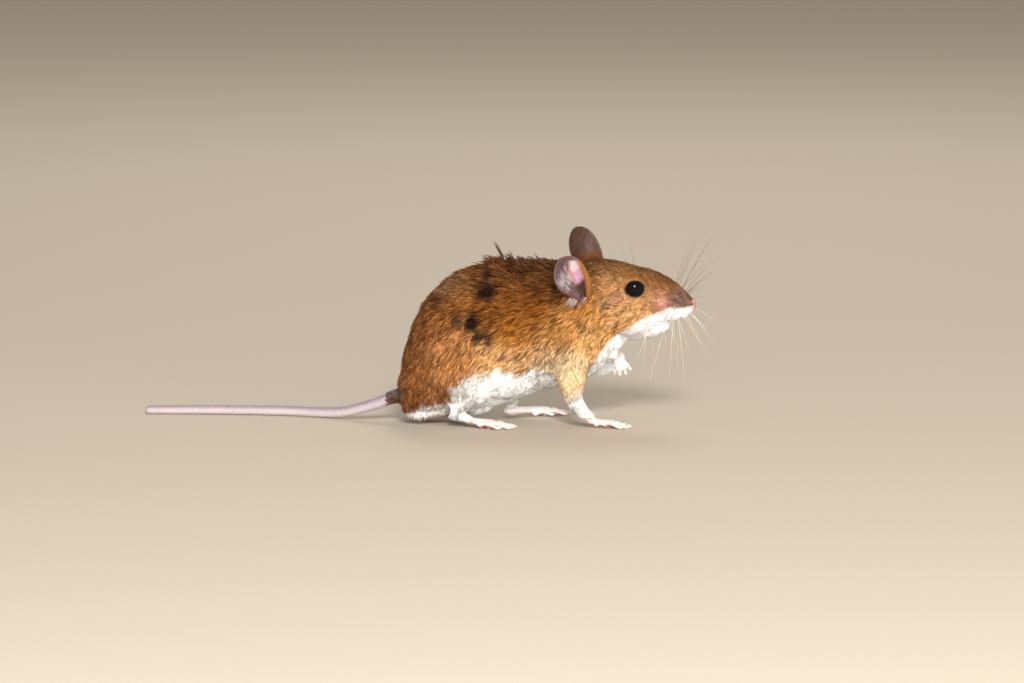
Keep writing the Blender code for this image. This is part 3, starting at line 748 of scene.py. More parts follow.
def furred_at(places):
    """1 where the coat grows, falling to 0 on the nose, feet, tail and round the eyes."""
    x, y, z = places.T
    nose = ramp(nose_distance(places), 1.1, 1.9)
    eye = ramp(eye_distance(places), 3.1, 4.2)
    foot = np.maximum(ramp(z, 2.2, 4.0), heel_at(places))
    return nose * eye * foot * (1 - paw_at(x, z)) * ramp(x, *TAIL_FUR)


places = own_places(points_of(skin))
furred = furred_at(places)
sunk = coat_at(places)[1] * furred
print("coat depth from", round(float(sunk.min()), 2), "to", round(float(sunk.max()), 2), "mm")

# %% Drawing the skin back by the coat's depth, in small steps that stay smooth
DRAW_STEPS = 4
draw_step = ((CLOSING * (furred > 0) + sunk) * MM / DRAW_STEPS)[:, None]
for _ in range(DRAW_STEPS):
    move_to(skin, points_of(skin) - normals_of(skin) * draw_step)
    even_out(skin, 2, 0.4)

# %% Evening the ledge where throat and chest meet, which would part the hair
CHEST_FOLD = ((30.3, 0.0, 19.4), (3.4, 7.0, 3.2))
FOLD_STEPS = 160
fold_share = spot(own_places(points_of(skin)), *CHEST_FOLD)
group = skin.vertex_groups.new(name="chest fold")
for k in np.nonzero(fold_share > 0.04)[0]:
    group.add([int(k)], min(1.0, 2.2 * float(fold_share[k])), "REPLACE")
even_out(skin, FOLD_STEPS, group=group.name)
skin.vertex_groups.clear()

# %% [markdown]
# ## Ears
# Each ear is a thin cupped sheet, curled into a tube at its root and open towards its rounded top.
# The near ear shows its inside: a deep hollow in front, and behind it a soft fold from which a
# haired band runs to the rear rim. A grid of points is bent round the ear's long axis, the fold is
# raised on it, and the sheet is given its thickness, thin at the rim and thicker at the root. The
# grid also keeps what each point looks like, so that colour and hair can follow the ear's own shape.

# %% Ear sizes: root, tip, the way the hollow faces, half width of the sheet when flattened
EARS = {
    "ear_right": ((21.0, -7.6, 35.0), (16.0, -13.6, 46.0), (0.42, -0.9, 0.12), 6.2),
    "ear_left": ((24.2, 7.4, 38.4), (20.6, 10.8, 51.5), (0.6, 0.8, 0.1), 6.3),
}
EAR_ROWS, EAR_COLUMNS = 56, 48
EAR_CURL_ROOT, EAR_CURL_TIP = math.radians(125), math.radians(38)
EAR_BELLY = 1.6
EAR_SUNK_ROWS = 7
EAR_FULLNESS = 0.44
EAR_NOTCH = 0.6
EAR_GAP = 0.35
EAR_FOLD, EAR_FOLD_WIDTH = 0.85, 0.13
EAR_COLOURS = {
    "rim": shown(104, 82, 76),
    "hollow": shown(176, 124, 116),
    # A painted highlight on the shiny lower hollow, lavender
    "lilac_highlight": shown(170, 136, 172),
    "pale": shown(202, 182, 182),
    # The haired band behind the fold: its dark grey-brown is partly its hair and partly painted shade
    "band": shown(96, 72, 74),
    "white_hair": shown(186, 176, 172),
    # Painted shade in the ear's opening
    "opening": shown(58, 38, 34),
    "back": shown(74, 50, 40),
    # A painted highlight on the ear's back, in mottled patches
    "back_light": shown(106, 80, 68),
    "root": shown(124, 72, 30),
    "front_fur": shown(156, 100, 52),
}


def ear_sheet(root, tip, facing, half_width):
    """The middle sheet of one ear in rows, how far its fold rises, and what each point looks like."""
    root, tip, hollow = np.array(root), np.array(tip), np.array(facing, float)
    along = tip - root
    hollow = hollow - along * (hollow @ along) / (along @ along)
    hollow /= np.linalg.norm(hollow)
    across = np.cross(along / np.linalg.norm(along), hollow)
    front = 1.0 if across[0] > 0 else -1.0
    v = 0.998 * np.sin(math.pi / 2 * np.arange(EAR_ROWS + 1) / EAR_ROWS)[:, None]
    c = (2 * np.arange(EAR_COLUMNS + 1) / EAR_COLUMNS - 1)[None, :]
    reach = half_width * (np.sin(math.pi * (0.12 + 0.88 * v)) + 1e-6) ** EAR_FULLNESS
    curl = EAR_CURL_ROOT + (EAR_CURL_TIP - EAR_CURL_ROOT) * v**0.8
    radius = reach / curl
    notch = 1 - EAR_NOTCH * ramp(-c * front, 0.1, 0.9) * (1 - ramp(v, 0.08, 0.6))
    angle = curl * c * notch
    fold_line = c * front - 0.2 + 0.05 * np.sin(3 * v) - 0.4 * ramp(v, 0.6, 1.0)
    fold = EAR_FOLD * np.exp(-((fold_line / EAR_FOLD_WIDTH) ** 2)) * between(v, 0.12, 0.35, 0.72, 0.95)
    hollowness = radius * (1 - np.cos(angle)) - EAR_BELLY * np.sin(math.pi * v)
    middle = root + v[..., None] * along + (radius * np.sin(angle))[..., None] * across
    middle = middle + hollowness[..., None] * hollow
    inwards = np.array((0.3, -1.2 * np.sign(root[1]), -0.45))
    sunk = middle[0] + np.arange(EAR_SUNK_ROWS, 0, -1)[:, None, None] * 0.5 * inwards
    middle = np.concatenate([sunk, middle])
    raised = np.concatenate([np.zeros((EAR_SUNK_ROWS, EAR_COLUMNS + 1)), fold])
    v = np.concatenate([np.zeros((EAR_SUNK_ROWS, 1)), v])
    fold_line = np.concatenate([np.repeat(fold_line[:1], EAR_SUNK_ROWS, 0), fold_line])
    return middle, raised[..., None] * hollow, v + 0 * c, c * front + 0 * v, fold_line


def ear_solid(name):
    """One ear as a closed shell, and for each point: inside, v, c, offset from the fold, way."""
    middle, raised, v, c, fold_line = ear_sheet(*EARS[name])
    down = np.gradient(middle, axis=0)
    normal = np.cross(down, np.gradient(middle, axis=1))
    normal /= np.linalg.norm(normal, axis=2)[..., None] + 1e-9
    normal[-1] = normal[-2]
    thickness = 0.16 + 0.34 * (1 - v) + 0.06 * (1 - np.abs(c))
    facing = np.sign(normal[EAR_ROWS // 2, EAR_COLUMNS // 2] @ np.array(EARS[name][2]))
    inner = middle + raised + normal * facing * thickness[..., None]
    outer = middle - normal * facing * thickness[..., None]
    rows, columns = middle.shape[:2]
    points = [*inner.reshape(-1, 3), *outer.reshape(-1, 3)]
    faces = []
    half = rows * columns
    for r in range(rows - 1):
        for k in range(columns - 1):
            a, b = r * columns + k, r * columns + k + 1
            quad = (a, b, b + columns, a + columns)
            faces.append(quad)
            faces.append(tuple(half + q for q in quad[::-1]))
    edge = [r * columns for r in range(rows)] + [(rows - 1) * columns + k for k in range(1, columns)]
    edge += [r * columns + columns - 1 for r in range(rows - 2, -1, -1)] + list(range(columns - 2, 0, -1))
    for a, b in zip(edge, edge[1:] + edge[:1]):
        faces.append((b, a, half + a, half + b))
    way = down / (np.linalg.norm(down, axis=2)[..., None] + 1e-9)
    facts = np.concatenate([np.stack([v, c, fold_line], 2), way], 2).reshape(-1, 6)
    return points, faces, np.vstack([np.column_stack([np.full(half, inside), facts]) for inside in (1, 0)])


ear_shells = [ear_solid(name) for name in EARS]
ear_points = np.array([point for shell in ear_shells for point in shell[0]])
ear_facts = np.vstack([shell[2] for shell in ear_shells])
print("ears", len(ear_points), "points")

# %% Ears joined to the skin
ears = piece_of("ears", [shell[:2] for shell in ear_shells])
union = skin.modifiers.new("ears", "BOOLEAN")
union.operation = "UNION"
union.solver = "MANIFOLD"
union.object = ears
apply_modifiers(skin)
bpy.data.objects.remove(ears)
print("skin with ears", len(skin.data.polygons), "faces, shells", keep_largest(skin))

# %% Thinning
SKIN_TRIANGLES = 104000
thin = skin.modifiers.new("thin", "DECIMATE")
thin.ratio = min(1.0, SKIN_TRIANGLES / (2 * len(skin.data.polygons)))
thin.use_collapse_triangulate = True
apply_modifiers(skin)
skin.data.shade_smooth()
print("thinned skin", len(skin.data.polygons), "faces")

# %% [markdown]
# ## Eyelids, nostrils and mouth
# The remesh leaves the face soft. Its fine forms are drawn on it afterwards by moving points: first
# the mesh is made finer round the eyes, the nose and the mouth. Then the points within a lid's
# opening sink just under the eyeball, and those round it rise to a rim that hugs the ball and runs
# out to two corners. A comma-shaped pit makes each nostril, and shallow grooves make the line from
# nose to lip and the line of the mouth.

# %% A finer mesh on the face
NOSTRIL = (52.3, 1.2, 32.9)
PHILTRUM = ((53.2, 0.0, 32.0), (52.6, 0.0, 30.2), (51.2, 0.0, 28.6))
MOUTH = ((42.6, 28.5), (44.5, 28.2), (46.6, 28.1), (49.5, 28.3), (51.2, 28.6))


def refine(obj, wanted):
    """Splits the faces whose points are wanted into four."""
    bm = bmesh.new()
    bm.from_mesh(obj.data)
    bm.verts.ensure_lookup_table()
    edges = [edge for edge in bm.edges if wanted[edge.verts[0].index] and wanted[edge.verts[1].index]]
    bmesh.ops.subdivide_edges(bm, edges=edges, cuts=1, use_grid_fill=True)
    bmesh.ops.triangulate(bm, faces=[face for face in bm.faces if len(face.verts) > 4])
    bm.to_mesh(obj.data)
    bm.free()


places = own_places(points_of(skin))
near_mouth = (places[:, 0] > 41.5) & (places[:, 2] > 26.5) & (places[:, 2] < 30.5)
refine(skin, (eye_distance(places) < 4.7) | (places[:, 0] > 50.4) | near_mouth)
places = own_places(points_of(skin))
refine(skin, (eye_distance(places) < 3.9) | (places[:, 0] > 51.6))
print("refined skin", len(skin.data.polygons), "faces")

# %% Lids
EYE_AXIS = np.array((0.25, 0.95, 0.16))
LID_REACH = 5.2
LID_HALF_ANGLES = (53, 44)
# Corners: at which turn round the eye, by how many degrees, and how wide
LID_CORNERS = ((18, 6, 12), (190, 7, 14))
# Distance beyond the opening, and height over the ball
LID_PROFILE = ((-0.25, -0.28), (0.0, -0.06), (0.1, 0.1), (0.2, 0.16), (0.36, 0.14), (0.7, 0.06))


def eye_frame(side):
    """The way an eye looks, and the ways forwards and up across it."""
    look = HEAD_TURN @ (EYE_AXIS * (1, side, 1) / np.linalg.norm(EYE_AXIS))
    ahead = HEAD_TURN @ np.array((1.0, 0.0, 0.0))
    ahead = ahead - look * (ahead @ look)
    ahead /= np.linalg.norm(ahead)
    return look, ahead, -side * np.cross(look, ahead)


def shape_lids(points, side):
    """Sinks the points in the opening under the ball and raises a rim round it."""
    look, ahead, up = eye_frame(side)
    middle = eye_middle(side)
    away = makers(points) - middle
    far = np.linalg.norm(away, axis=1)
    near = np.nonzero(far < LID_REACH)[0]
    away, far = away[near], far[near]
    tilt = np.degrees(np.arccos(np.clip(away @ look / far, -1, 1)))
    turn = np.degrees(np.arctan2(away @ up, away @ ahead))
    wide, high = LID_HALF_ANGLES
    opening = high + (wide - high) * np.cos(np.radians(turn)) ** 2
    for at, reach, width in LID_CORNERS:
        off = (turn - at + 180) % 360 - 180
        opening = opening + reach * np.exp(-((off / width) ** 2))
    beyond = np.radians(tilt - opening) * EYE_RADIUS
    steps, heights = zip(*LID_PROFILE)
    wanted = EYE_RADIUS + np.interp(beyond, steps, heights)
    blend = 1 - ramp(beyond, 0.35, 1.1)
    new_far = far + (wanted - far) * blend
    points[near] = placed(middle + away / far[:, None] * new_far[:, None])
    rim = np.zeros(len(points))
    rim[near] = 1 - ramp(beyond, 0.12, 0.42)
    return rim


points = points_of(skin)
lid_rim = np.maximum(shape_lids(points, -1), shape_lids(points, 1))
move_to(skin, points)


# %% Nostrils, philtrum and mouth
def near_line(flat, line):
    """Distance of flat points from a bent line of points."""
    best = np.full(len(flat), 1e9)
    line = np.array(line, float)
    for start, end in zip(line[:-1], line[1:]):
        span = end - start
        share = np.clip((flat - start) @ span / (span @ span), 0, 1)
        best = np.minimum(best, np.linalg.norm(flat - start - share[:, None] * span, axis=1))
    return best


def hump(offsets, widths):
    """1 where all offsets are 0, falling softly to 0 beyond the widths."""
    return np.exp(-((np.array(offsets) / np.array(widths)[:, None]) ** 2).sum(0))


face = folded(own_places(points))
ahead, out, up = (face - NOSTRIL).T
pit = hump((ahead, out, up - 0.25 * ahead), (0.62, 0.6, 0.3))
pit_tail = hump((ahead + 0.7, up + 0.12, out), (0.5, 0.16, 0.9))
lip_line = hump([near_line(face, PHILTRUM)], [0.22])
mouth_line = hump([near_line(face[:, [0, 2]], MOUTH)], [0.17]) * ramp(face[:, 0], 41.5, 43.5)
dent = 0.55 * pit + 0.25 * pit_tail + 0.28 * lip_line + 0.22 * mouth_line
move_to(skin, points - normals_of(skin) * (dent * MM)[:, None])
# Painted shade: how dark the nostril pits, the groove from nose to lip and the mouth line are painted
dent_shade = np.clip(1.2 * pit + pit_tail + 0.6 * lip_line + 0.5 * mouth_line, 0, 1)
print("deepest dent", round(float(dent.max()), 2), "mm")

# %% [markdown]
# ## What the skin knows
# Colour, hair length and the way the hair lies are stored on the skin's points as attributes. The
# coat is grown from the skin, so each tuft takes the skin's values at its root, and skin and coat
# always agree. Markings are drawn here: the edge between the golden flank and the white belly, dark
# streaks on the shoulder, a parted dark patch on the back, grey spots, the pink patch on the muzzle.
# Gentle noise keeps every edge ragged, as hair makes it.

# %% The edge of the white
# Height of the edge along the flank, then along the turned-straight head
EDGE_FLANK = (
    (-34, 0.2), (-27, 0.8), (-25.0, 2.8), (-22.5, 5.3), (-15, 6.2), (-13.3, 7.4), (-12.8, 11.0),
    (-10.3, 13.6), (-6.75, 15.2), (0, 15.8), (5.4, 14.4), (8.1, 15.6), (12.2, 15.2), (15.0, 14.2),
    (17.0, 10.2), (18.6, 8.6), (20.4, 10.4), (22.2, 12.4), (23.4, 14.2), (25.0, 17.2), (27.2, 20.6),
    (29.7, 23.6),
)
EDGE_HEAD = (
    (29.0, 22.5), (30.5, 24.0), (36.3, 28.0), (39.0, 29.9), (43.2, 31.2), (46.0, 32.1), (52.0, 32.4),
)
WHITE = shown(252, 250, 246)
CREAM = shown(255, 222, 180)


def wobble(points, size, seed):
    """Soft noise from -1 to 1 at places in millimetres, its lumps about size across."""
    moved = np.asarray(points) / size + seed * 17.3
    return np.array([noise(Vector(place)) for place in moved])


def whiteness(places):
    """1 on the white under side, 0 on the golden coat, with a ragged edge."""
    x, y, z = places.T
    flank = np.interp(x, *zip(*EDGE_FLANK))
    head = np.interp(x, *zip(*EDGE_HEAD))
    edge = flank + (head - flank) * ramp(x, 28.0, 31.0)
    # Between the legs the white reaches higher than on the outer side
    edge = edge + 7.0 * (1 - ramp(np.abs(y), 4.5, 8.0)) * between(x, 8, 14, 22, 25)
    ragged = (0.9 * wobble(places, 2.6, 1) + 0.6 * wobble(places, 0.9, 2)) * (1 - 0.5 * ramp(x, 22, 30))
    softness = 0.6 + 2.0 * between(x, 14, 17, 22, 24)
    return 1 - ramp((z - edge + ragged) / softness, -1, 1)


# %% Markings of the coat: side, place, reach in x and z, slant in degrees, colour, strength
MARKS = {
    "parting": (-1, (-3.8, 35.7), (3.1, 2.3), 0, (22, 15, 10), 1.0),
    "parting_above": (-1, (-3.4, 39.2), (1.3, 2.0), 20, (40, 27, 17), 0.85),
    "parting_below": (-1, (-3.0, 32.8), (1.1, 1.9), -15, (40, 26, 16), 0.85),
    "parting_rear": (-1, (-6.2, 34.2), (1.4, 1.2), 30, (46, 30, 19), 0.8),
    "gash": (-1, (-8.1, 28.0), (1.7, 3.2), -24, (34, 22, 14), 1.0),
    "gash_low": (-1, (-6.6, 24.0), (1.5, 2.8), -20, (38, 25, 16), 0.95),
    "gash_rear": (-1, (-10.9, 28.7), (2.0, 1.3), 20, (84, 64, 48), 0.85),
    "gash_foot": (-1, (-3.4, 24.4), (1.5, 2.0), -10, (56, 37, 24), 0.85),
    "streak_fore": (-1, (-0.2, 31.6), (0.8, 2.4), 15, (70, 36, 14), 0.75),
    "streak_middle": (-1, (-2.4, 28.1), (1.3, 1.1), 0, (66, 36, 16), 0.75),
    "brown_rear": (-1, (-15.4, 33.0), (1.6, 1.9), 30, (92, 56, 28), 0.7),
    "streak_high": (-1, (-12.5, 33.0), (0.7, 2.4), 40, (84, 46, 20), 0.6),
    "grey_spot": (-1, (0.7, 19.6), (1.4, 1.0), 0, (128, 100, 84), 0.75),
    "grey_spot_fore": (-1, (4.2, 17.9), (1.3, 0.9), 0, (138, 112, 96), 0.65),
    "cheek_spot": (-1, (30.0, 33.4), (1.9, 1.4), 0, (150, 122, 98), 0.75),
    "left_parting": (1, (-7.0, 35.0), (2.2, 2.4), 0, (40, 26, 16), 0.8),
    "left_streak": (1, (-2.0, 27.0), (1.0, 3.0), -20, (74, 40, 18), 0.7),
    "left_streak_fore": (1, (6.0, 29.0), (0.9, 2.4), 15, (84, 44, 18), 0.6),
    "tail_patch": (-1, (-28.6, 8.8), (2.4, 1.8), 0, (104, 98, 104), 0.85),
    "tail_patch_left": (1, (-28.6, 8.8), (2.4, 1.8), 0, (104, 98, 104), 0.85),
}
# Marks whose three colour values add up to less than this are parts in the coat, with shorter hair
PARTED_BELOW = 110
LIP_TINT = shown(230, 217, 219)
MIDLINE_TINT = shown(84, 52, 30)
EDGE_TINT = shown(240, 190, 124)
# Turns places so that the first axis runs the way the flank's hair lies, and shortens it
STRAND_WAY = np.array(((-0.9, 0, -0.42), (0, 1, 0), (-0.42, 0, 0.9))).T @ np.diag((0.24, 1, 1))
PINK_PATCH = ((44.8, 4.6, 34.0), (1.9, 3.0, 2.3))
PAD_PATCH = ((49.2, 2.6, 34.0), (2.7, 3.0, 2.4))
FAN_HUB, FAN_RATE = (52.6, 31.0), 21


def upper_arm_at(x, z):
    """1 on the upper arm, where the coat is cream and even."""
    return between(x, 13, 16, 23, 26) * (1 - ramp(z, 13, 19))


def coat_colour(places, colours):
    """The coat's colour: the places' colours with white, cream and markings over them."""
    x, y, z = places.T
    streaks = wobble(places * (0.5, 1, 0.35), 0.8, 3)
    upper_arm = upper_arm_at(x, z)
    uneven = (0.2 * wobble(places, 3.2, 4) + 0.2 * streaks) * (1 - 0.5 * upper_arm)
    colours = colours * (0.82 + 0.18 * upper_arm + uneven)[:, None]
    strands = wobble(places @ STRAND_WAY, 0.42, 13)
    parted = np.zeros(len(places))
    for side, centre, reach, slant, colour, strength in MARKS.values():
        cosine, sine = math.cos(math.radians(slant)), math.sin(math.radians(slant))
        ahead, up = x - centre[0], z - centre[1]
        far = ((ahead * cosine + up * sine) / reach[0]) ** 2 + ((up * cosine - ahead * sine) / reach[1]) ** 2
        near = np.exp(-far * (1 + 0.6 * streaks)) * (y * side > 0)
        share = ramp(near * (1 + 0.9 * strands), 0.16, 0.6)
        colours = mixed(colours, shown(*colour), strength * share)
        parted = np.maximum(parted, share * strength * (sum(colour) < PARTED_BELOW))
    midline = (1 - ramp(np.abs(y), 1.0, 4.4)) * between(x, 22, 27, 44, 49) * ramp(z, 36, 40)
    colours = mixed(colours, MIDLINE_TINT, 0.6 * midline * (1 + 0.5 * strands))
    white = whiteness(places)
    arm = between(x, 13.5, 16, 20.5, 24) * ramp(z, 5.6, 11.4) * ramp(np.abs(y), 6, 8)
    under = mixed(WHITE, CREAM, arm) * (1 + 0.05 * wobble(places, 2.0, 5))[:, None]
    colours = mixed(colours, under, white)
    near_edge = white * (1 - white) * 4
    colours = mixed(colours, EDGE_TINT, 0.45 * near_edge * ramp(x, -12, -8))
    colours = mixed(colours, LIP_TINT, 0.45 * white * ramp(x, 37, 42))
    return colours, white, parted


# %% Colours of the bare parts
NOSE_COLOUR = shown(186, 138, 124)
FOOT_COLOUR = shown(240, 208, 199)
# The lifted paw's own white, and on the far hind foot white hair brightened further as painted light where
# the body shades it
PALE_PAW_AND_PAINTED_LIGHT = shown(255, 246, 242)
# Darker pink for the soles, partly their skin and partly painted shade under the feet
SOLE_PINK_AND_SHADE = shown(178, 112, 104)
TAIL_TOP, TAIL_SIDE, TAIL_LILAC = shown(142, 124, 132), shown(188, 173, 173), shown(134, 122, 136)
LID_COLOUR = shown(30, 20, 18)
EYE_CORNER = ((33.9, 7.9, 35.6), (1.5, 2.0, 1.1))
# Painted shade for the nostrils, the groove under the nose and the mouth line
DENT_SHADE = shown(70, 40, 36)
CORNER_COLOUR = shown(190, 140, 128)
PINK = shown(214, 154, 148)
PAD_DARK = shown(62, 40, 34)
PAD_PALE = shown(176, 138, 124)


def nearest(others, points):
    """For each point, which of the others is nearest and how far it is."""
    tree = KDTree(len(others))
    for k, place in enumerate(others):
        tree.insert(place, k)
    tree.balance()
    found = [tree.find(point) for point in points]
    return np.array([item[1] for item in found]), np.array([item[2] for item in found])


# %% Storing the looks on the skin
def store(obj, name, values, kind="FLOAT", domain="POINT"):
    """Keeps an array on a mesh as a named attribute."""
    slot = {"FLOAT": "value", "INT": "value", "FLOAT_VECTOR": "vector", "FLOAT_COLOR": "color"}[kind]
    attribute = obj.data.attributes.new(name, kind, domain)
    values = np.asarray(values, np.int32 if kind == "INT" else np.float32)
    attribute.data.foreach_set(slot, values.ravel())


points = points_of(skin)
places = own_places(points)
raw = makers(points)
x, y, z = places.T
raw_x, raw_y, raw_z = raw.T
lie, depth, length, _ = coat_at(places)
furred = furred_at(places)
# A tuft shows where its outer half lies, so it takes the colour of that place
shown_at = places + 0.5 * length[:, None] * lie / np.linalg.norm(lie, axis=1)[:, None]
colours, white, parted = coat_colour(shown_at, coat_at(shown_at)[3])

# Ruffled hair: clumps that stand and turn aside, most of all on the back
on_back = 0.28 + 0.72 * ramp(z, 36, 40) * between(x, -6, 0, 16, 22)
ruffle = ramp(wobble(places, 2.3, 8), 0.0, 0.4) * on_back * (1 - white)
aside = np.column_stack([wobble(places, 2.6, seed) for seed in (9, 10, 11)])
depth = depth * (0.92 + 0.8 * ruffle) * (1 - 0.4 * parted)
length = length * (1 - 0.2 * ruffle) * (1 - 0.3 * parted)

# The head's hair turns with the head
lie = lie / np.linalg.norm(lie, axis=1)[:, None]
lie = lie + 0.6 * aside * (1 - 0.5 * ramp(x, 28, 36))[:, None]
lie = mixed(lie, lie @ HEAD_TURN.T, head_share(places))

# The muzzle: a pink patch with little hair, and the whisker pad with dark rows that fan out
pink = spot(places, *PINK_PATCH)
pad = spot(places, *PAD_PATCH) * ramp(z, 31.6, 32.6)
colours = mixed(colours, PINK, 0.75 * pink)
from_hub = np.arctan2(z - FAN_HUB[1], FAN_HUB[0] - x)
bristles = ramp(np.sin(from_hub * FAN_RATE + 0.8 * wobble(places, 1.5, 12)), -0.4, 0.5)
colours = mixed(colours, PAD_PALE, 0.75 * pad)
colours = mixed(colours, PAD_DARK, pad * (0.3 + 0.65 * bristles))
colours = mixed(colours, NOSE_COLOUR, 1 - ramp(nose_distance(places), 1.0, 1.7))
# Painted shade in the nostrils, the groove under the nose and the mouth line
colours = mixed(colours, DENT_SHADE, 0.85 * dent_shade)

# Feet, pinker below and between the toes: the darker pink on faces that look down is partly the soles' own
# skin and partly painted shade.
# The far hind foot is paler, partly for its white hair and partly as painted light against the body's shadow
# on it.
facing = normals_of(skin)[:, 2]
foot = (1 - ramp(raw_z, 2.4, 3.8)) * (raw_x > -20) * (1 - heel_at(raw))
paw = paw_at(raw_x, raw_z) * (raw_z > 9)
bare = np.maximum(foot, paw)
facing_down = ramp(-facing, 0.1, 0.8)
# The far hind foot: painted light makes it paler where the body shades it, beside its white hair
far_foot_painted_light = foot * (raw_y > 5) * (raw_x < 22)
colours = mixed(colours, FOOT_COLOUR, bare)
colours = mixed(colours, PALE_PAW_AND_PAINTED_LIGHT, np.maximum(0.65 * paw, 0.9 * far_foot_painted_light))
# Partly painted shade on faces that look down, partly random pink of the skin
sole_pink_and_shade = np.clip(0.75 * facing_down + 0.22 * ramp(wobble(raw, 1.3, 6), -0.2, 0.6), 0, 1)
colours = mixed(colours, SOLE_PINK_AND_SHADE, bare * (sole_pink_and_shade * (1 - 0.5 * np.maximum(paw, far_foot_painted_light))))

# Tail, dark above and pale at its sides; ring is the distance along it
tail = 1 - ramp(raw_x, *TAIL_FUR)
tail_path = tail_line[:, :3]
tail_lengths = np.concatenate([[0], np.cumsum(np.linalg.norm(np.diff(tail_path, axis=0), axis=1))])
on_tail = np.nonzero(raw_x < -24)[0]
near = nearest(tail_path, raw[on_tail])[0]
way = tail_path[np.minimum(near + 1, len(tail_path) - 1)] - tail_path[np.maximum(near - 1, 0)]
way /= np.linalg.norm(way, axis=1)[:, None]
ring = np.zeros(len(raw))
ring[on_tail] = tail_lengths[near] + ((raw[on_tail] - tail_path[near]) * way).sum(1)
facing_up = ramp(facing, -0.2, 0.9)
tail_tint = mixed(TAIL_SIDE, TAIL_TOP, facing_up)
tail_tint = mixed(tail_tint, TAIL_LILAC, 0.6 * (1 - ramp(ring, 8.5, 24)) * (0.4 + 0.6 * facing_up))
colours = mixed(colours, tail_tint, tail)

# Lids
colours = mixed(colours, LID_COLOUR, lid_rim)
colours = mixed(colours, CORNER_COLOUR, 0.6 * (spot(places, *EYE_CORNER) * (1 - lid_rim)))

# Ears: v runs from root to tip, c from the rear rim to the front one, fold is how far before the fold
ear_near, ear_gap = nearest(ear_points, raw)
inside, v, c, fold = ear_facts[ear_near, :4].T
mottle = wobble(raw, 1.1, 7)
off_fold = ramp(fold, 0.08, 0.3)
# A painted lavender highlight on the lower hollow, in mottled patches
lilac_highlight = off_fold * (1 - ramp(v, 0.46, 0.62)) * (0.5 + 0.5 * ramp(mottle, -0.3, 0.3))
hollow = mixed(EAR_COLOURS["hollow"], EAR_COLOURS["lilac_highlight"], lilac_highlight)
hollow = mixed(hollow, EAR_COLOURS["pale"], off_fold * ramp(v + 0.08 * mottle, 0.48, 0.64))
fine = wobble(np.column_stack([v * 9.0, c * 16.0, inside * 5.0]), 1.0, 14)
pale_band = ramp(0.8 * fine + 0.5 * mottle - 2.2 * np.abs(v - 0.5), -0.7, 0.25)
# The haired band: dark grey-brown, partly its hair and partly painted shade, with pale hair in patches
band = mixed(EAR_COLOURS["band"], EAR_COLOURS["white_hair"], pale_band * 0.75)
in_hollow = ramp(fold, -0.05, 0.05) * (1 - ramp(v + 0.12 * np.abs(c), 0.84, 0.94))
# Painted shade in the ear's opening, low in the hollow before the fold
opening = (1 - ramp(v + 0.02 * mottle - 0.12 * fold, 0.18, 0.29)) * ramp(fold, -0.16, 0.02)
inner = mixed(mixed(band, hollow, in_hollow), EAR_COLOURS["opening"], opening)
# The ear's back, with a painted highlight in mottled patches
outer = mixed(EAR_COLOURS["back"], EAR_COLOURS["back_light"], ramp(mottle, 0.0, 0.5) * 0.35)
outer = mixed(outer, EAR_COLOURS["root"], 1 - ramp(v + 0.1 * mottle, 0.26, 0.52))
ear_tint = mixed(mixed(outer, inner, inside), EAR_COLOURS["rim"], ramp(np.abs(c), 0.86, 0.97) * 0.8)
in_fur = ramp(c + 0.05 * mottle, 0.7, 0.86) * (1 - ramp(v + 0.1 * mottle, 0.5, 0.86)) * (raw_y < 0)
ear_tint = mixed(ear_tint, EAR_COLOURS["front_fur"], in_fur)
is_ear = ear_gap < EAR_GAP
colours = np.where(is_ear[:, None], ear_tint, colours)

# %% The kind of hair on each place, and its sizes
COAT_KIND, EAR, FOOT, TAILS = range(4)
FOOT_WAY, TAIL_WAY = (0.9, 0.0, -0.3), (-1.0, 0.1, 0.0)
kind = np.select([is_ear, tail > 0.5, bare > 0.6], [EAR, TAILS, FOOT], COAT_KIND)
is_coat = kind == COAT_KIND
kinds = [kind == EAR, kind == FOOT, kind == TAILS]

from_eye = eye_distance(places)
coat_thick = (12.5 + 30 * (1 - ramp(length, 1.0, 3.4))) * (furred > 0.25)
coat_thick = np.where(from_eye < 4.6, 30 * (lid_rim < 0.35), coat_thick)
coat_thick = coat_thick * (1 - 0.8 * pink) * (1 - 0.4 * pad)
ear_thick = np.where(inside > 0.5, 2.0 + 5.0 * (fold < -0.08), 9.0 + 14.0 * (v < 0.4)) + 12.0 * in_fur
thick = np.select(kinds, [ear_thick, 4.0 * (1 - facing_down), 2.2], coat_thick)

chest_fold = spot(places, *CHEST_FOLD)
length = length * (1 - 0.4 * pink) * (0.4 + 0.6 * ramp(from_eye, 3.8, 6.2)) * (1 - 0.15 * chest_fold)
ear_length = 0.8 + 1.3 * (1 - ramp(v, 0.15, 0.45)) * (1 - inside)
length = np.select(kinds, [ear_length, 0.8, 0.8], length)
depth = depth * (1 - 0.35 * chest_fold) * (1 - 0.4 * white * ramp(z, 3, 6))
depth = depth * (1 + 1.4 * ramp(x, 38, 43) * ramp(z, 34.5, 37))
depth = np.select(kinds, [0.22, 0.18, 0.25], np.clip(depth * furred, 0.15, 9))
width = np.where(is_coat, np.clip(0.085 + 0.036 * length, 0.1, 0.26), 0.06)
contrast = (1 - 0.93 * white) * (1 - 0.65 * upper_arm_at(x, z)) * (1 - 0.7 * pink) * np.where(is_coat, 1, 0.3)
ways = [ear_facts[ear_near, 4:], FOOT_WAY, TAIL_WAY]
lie = np.select([which[:, None] for which in kinds], ways, lie)

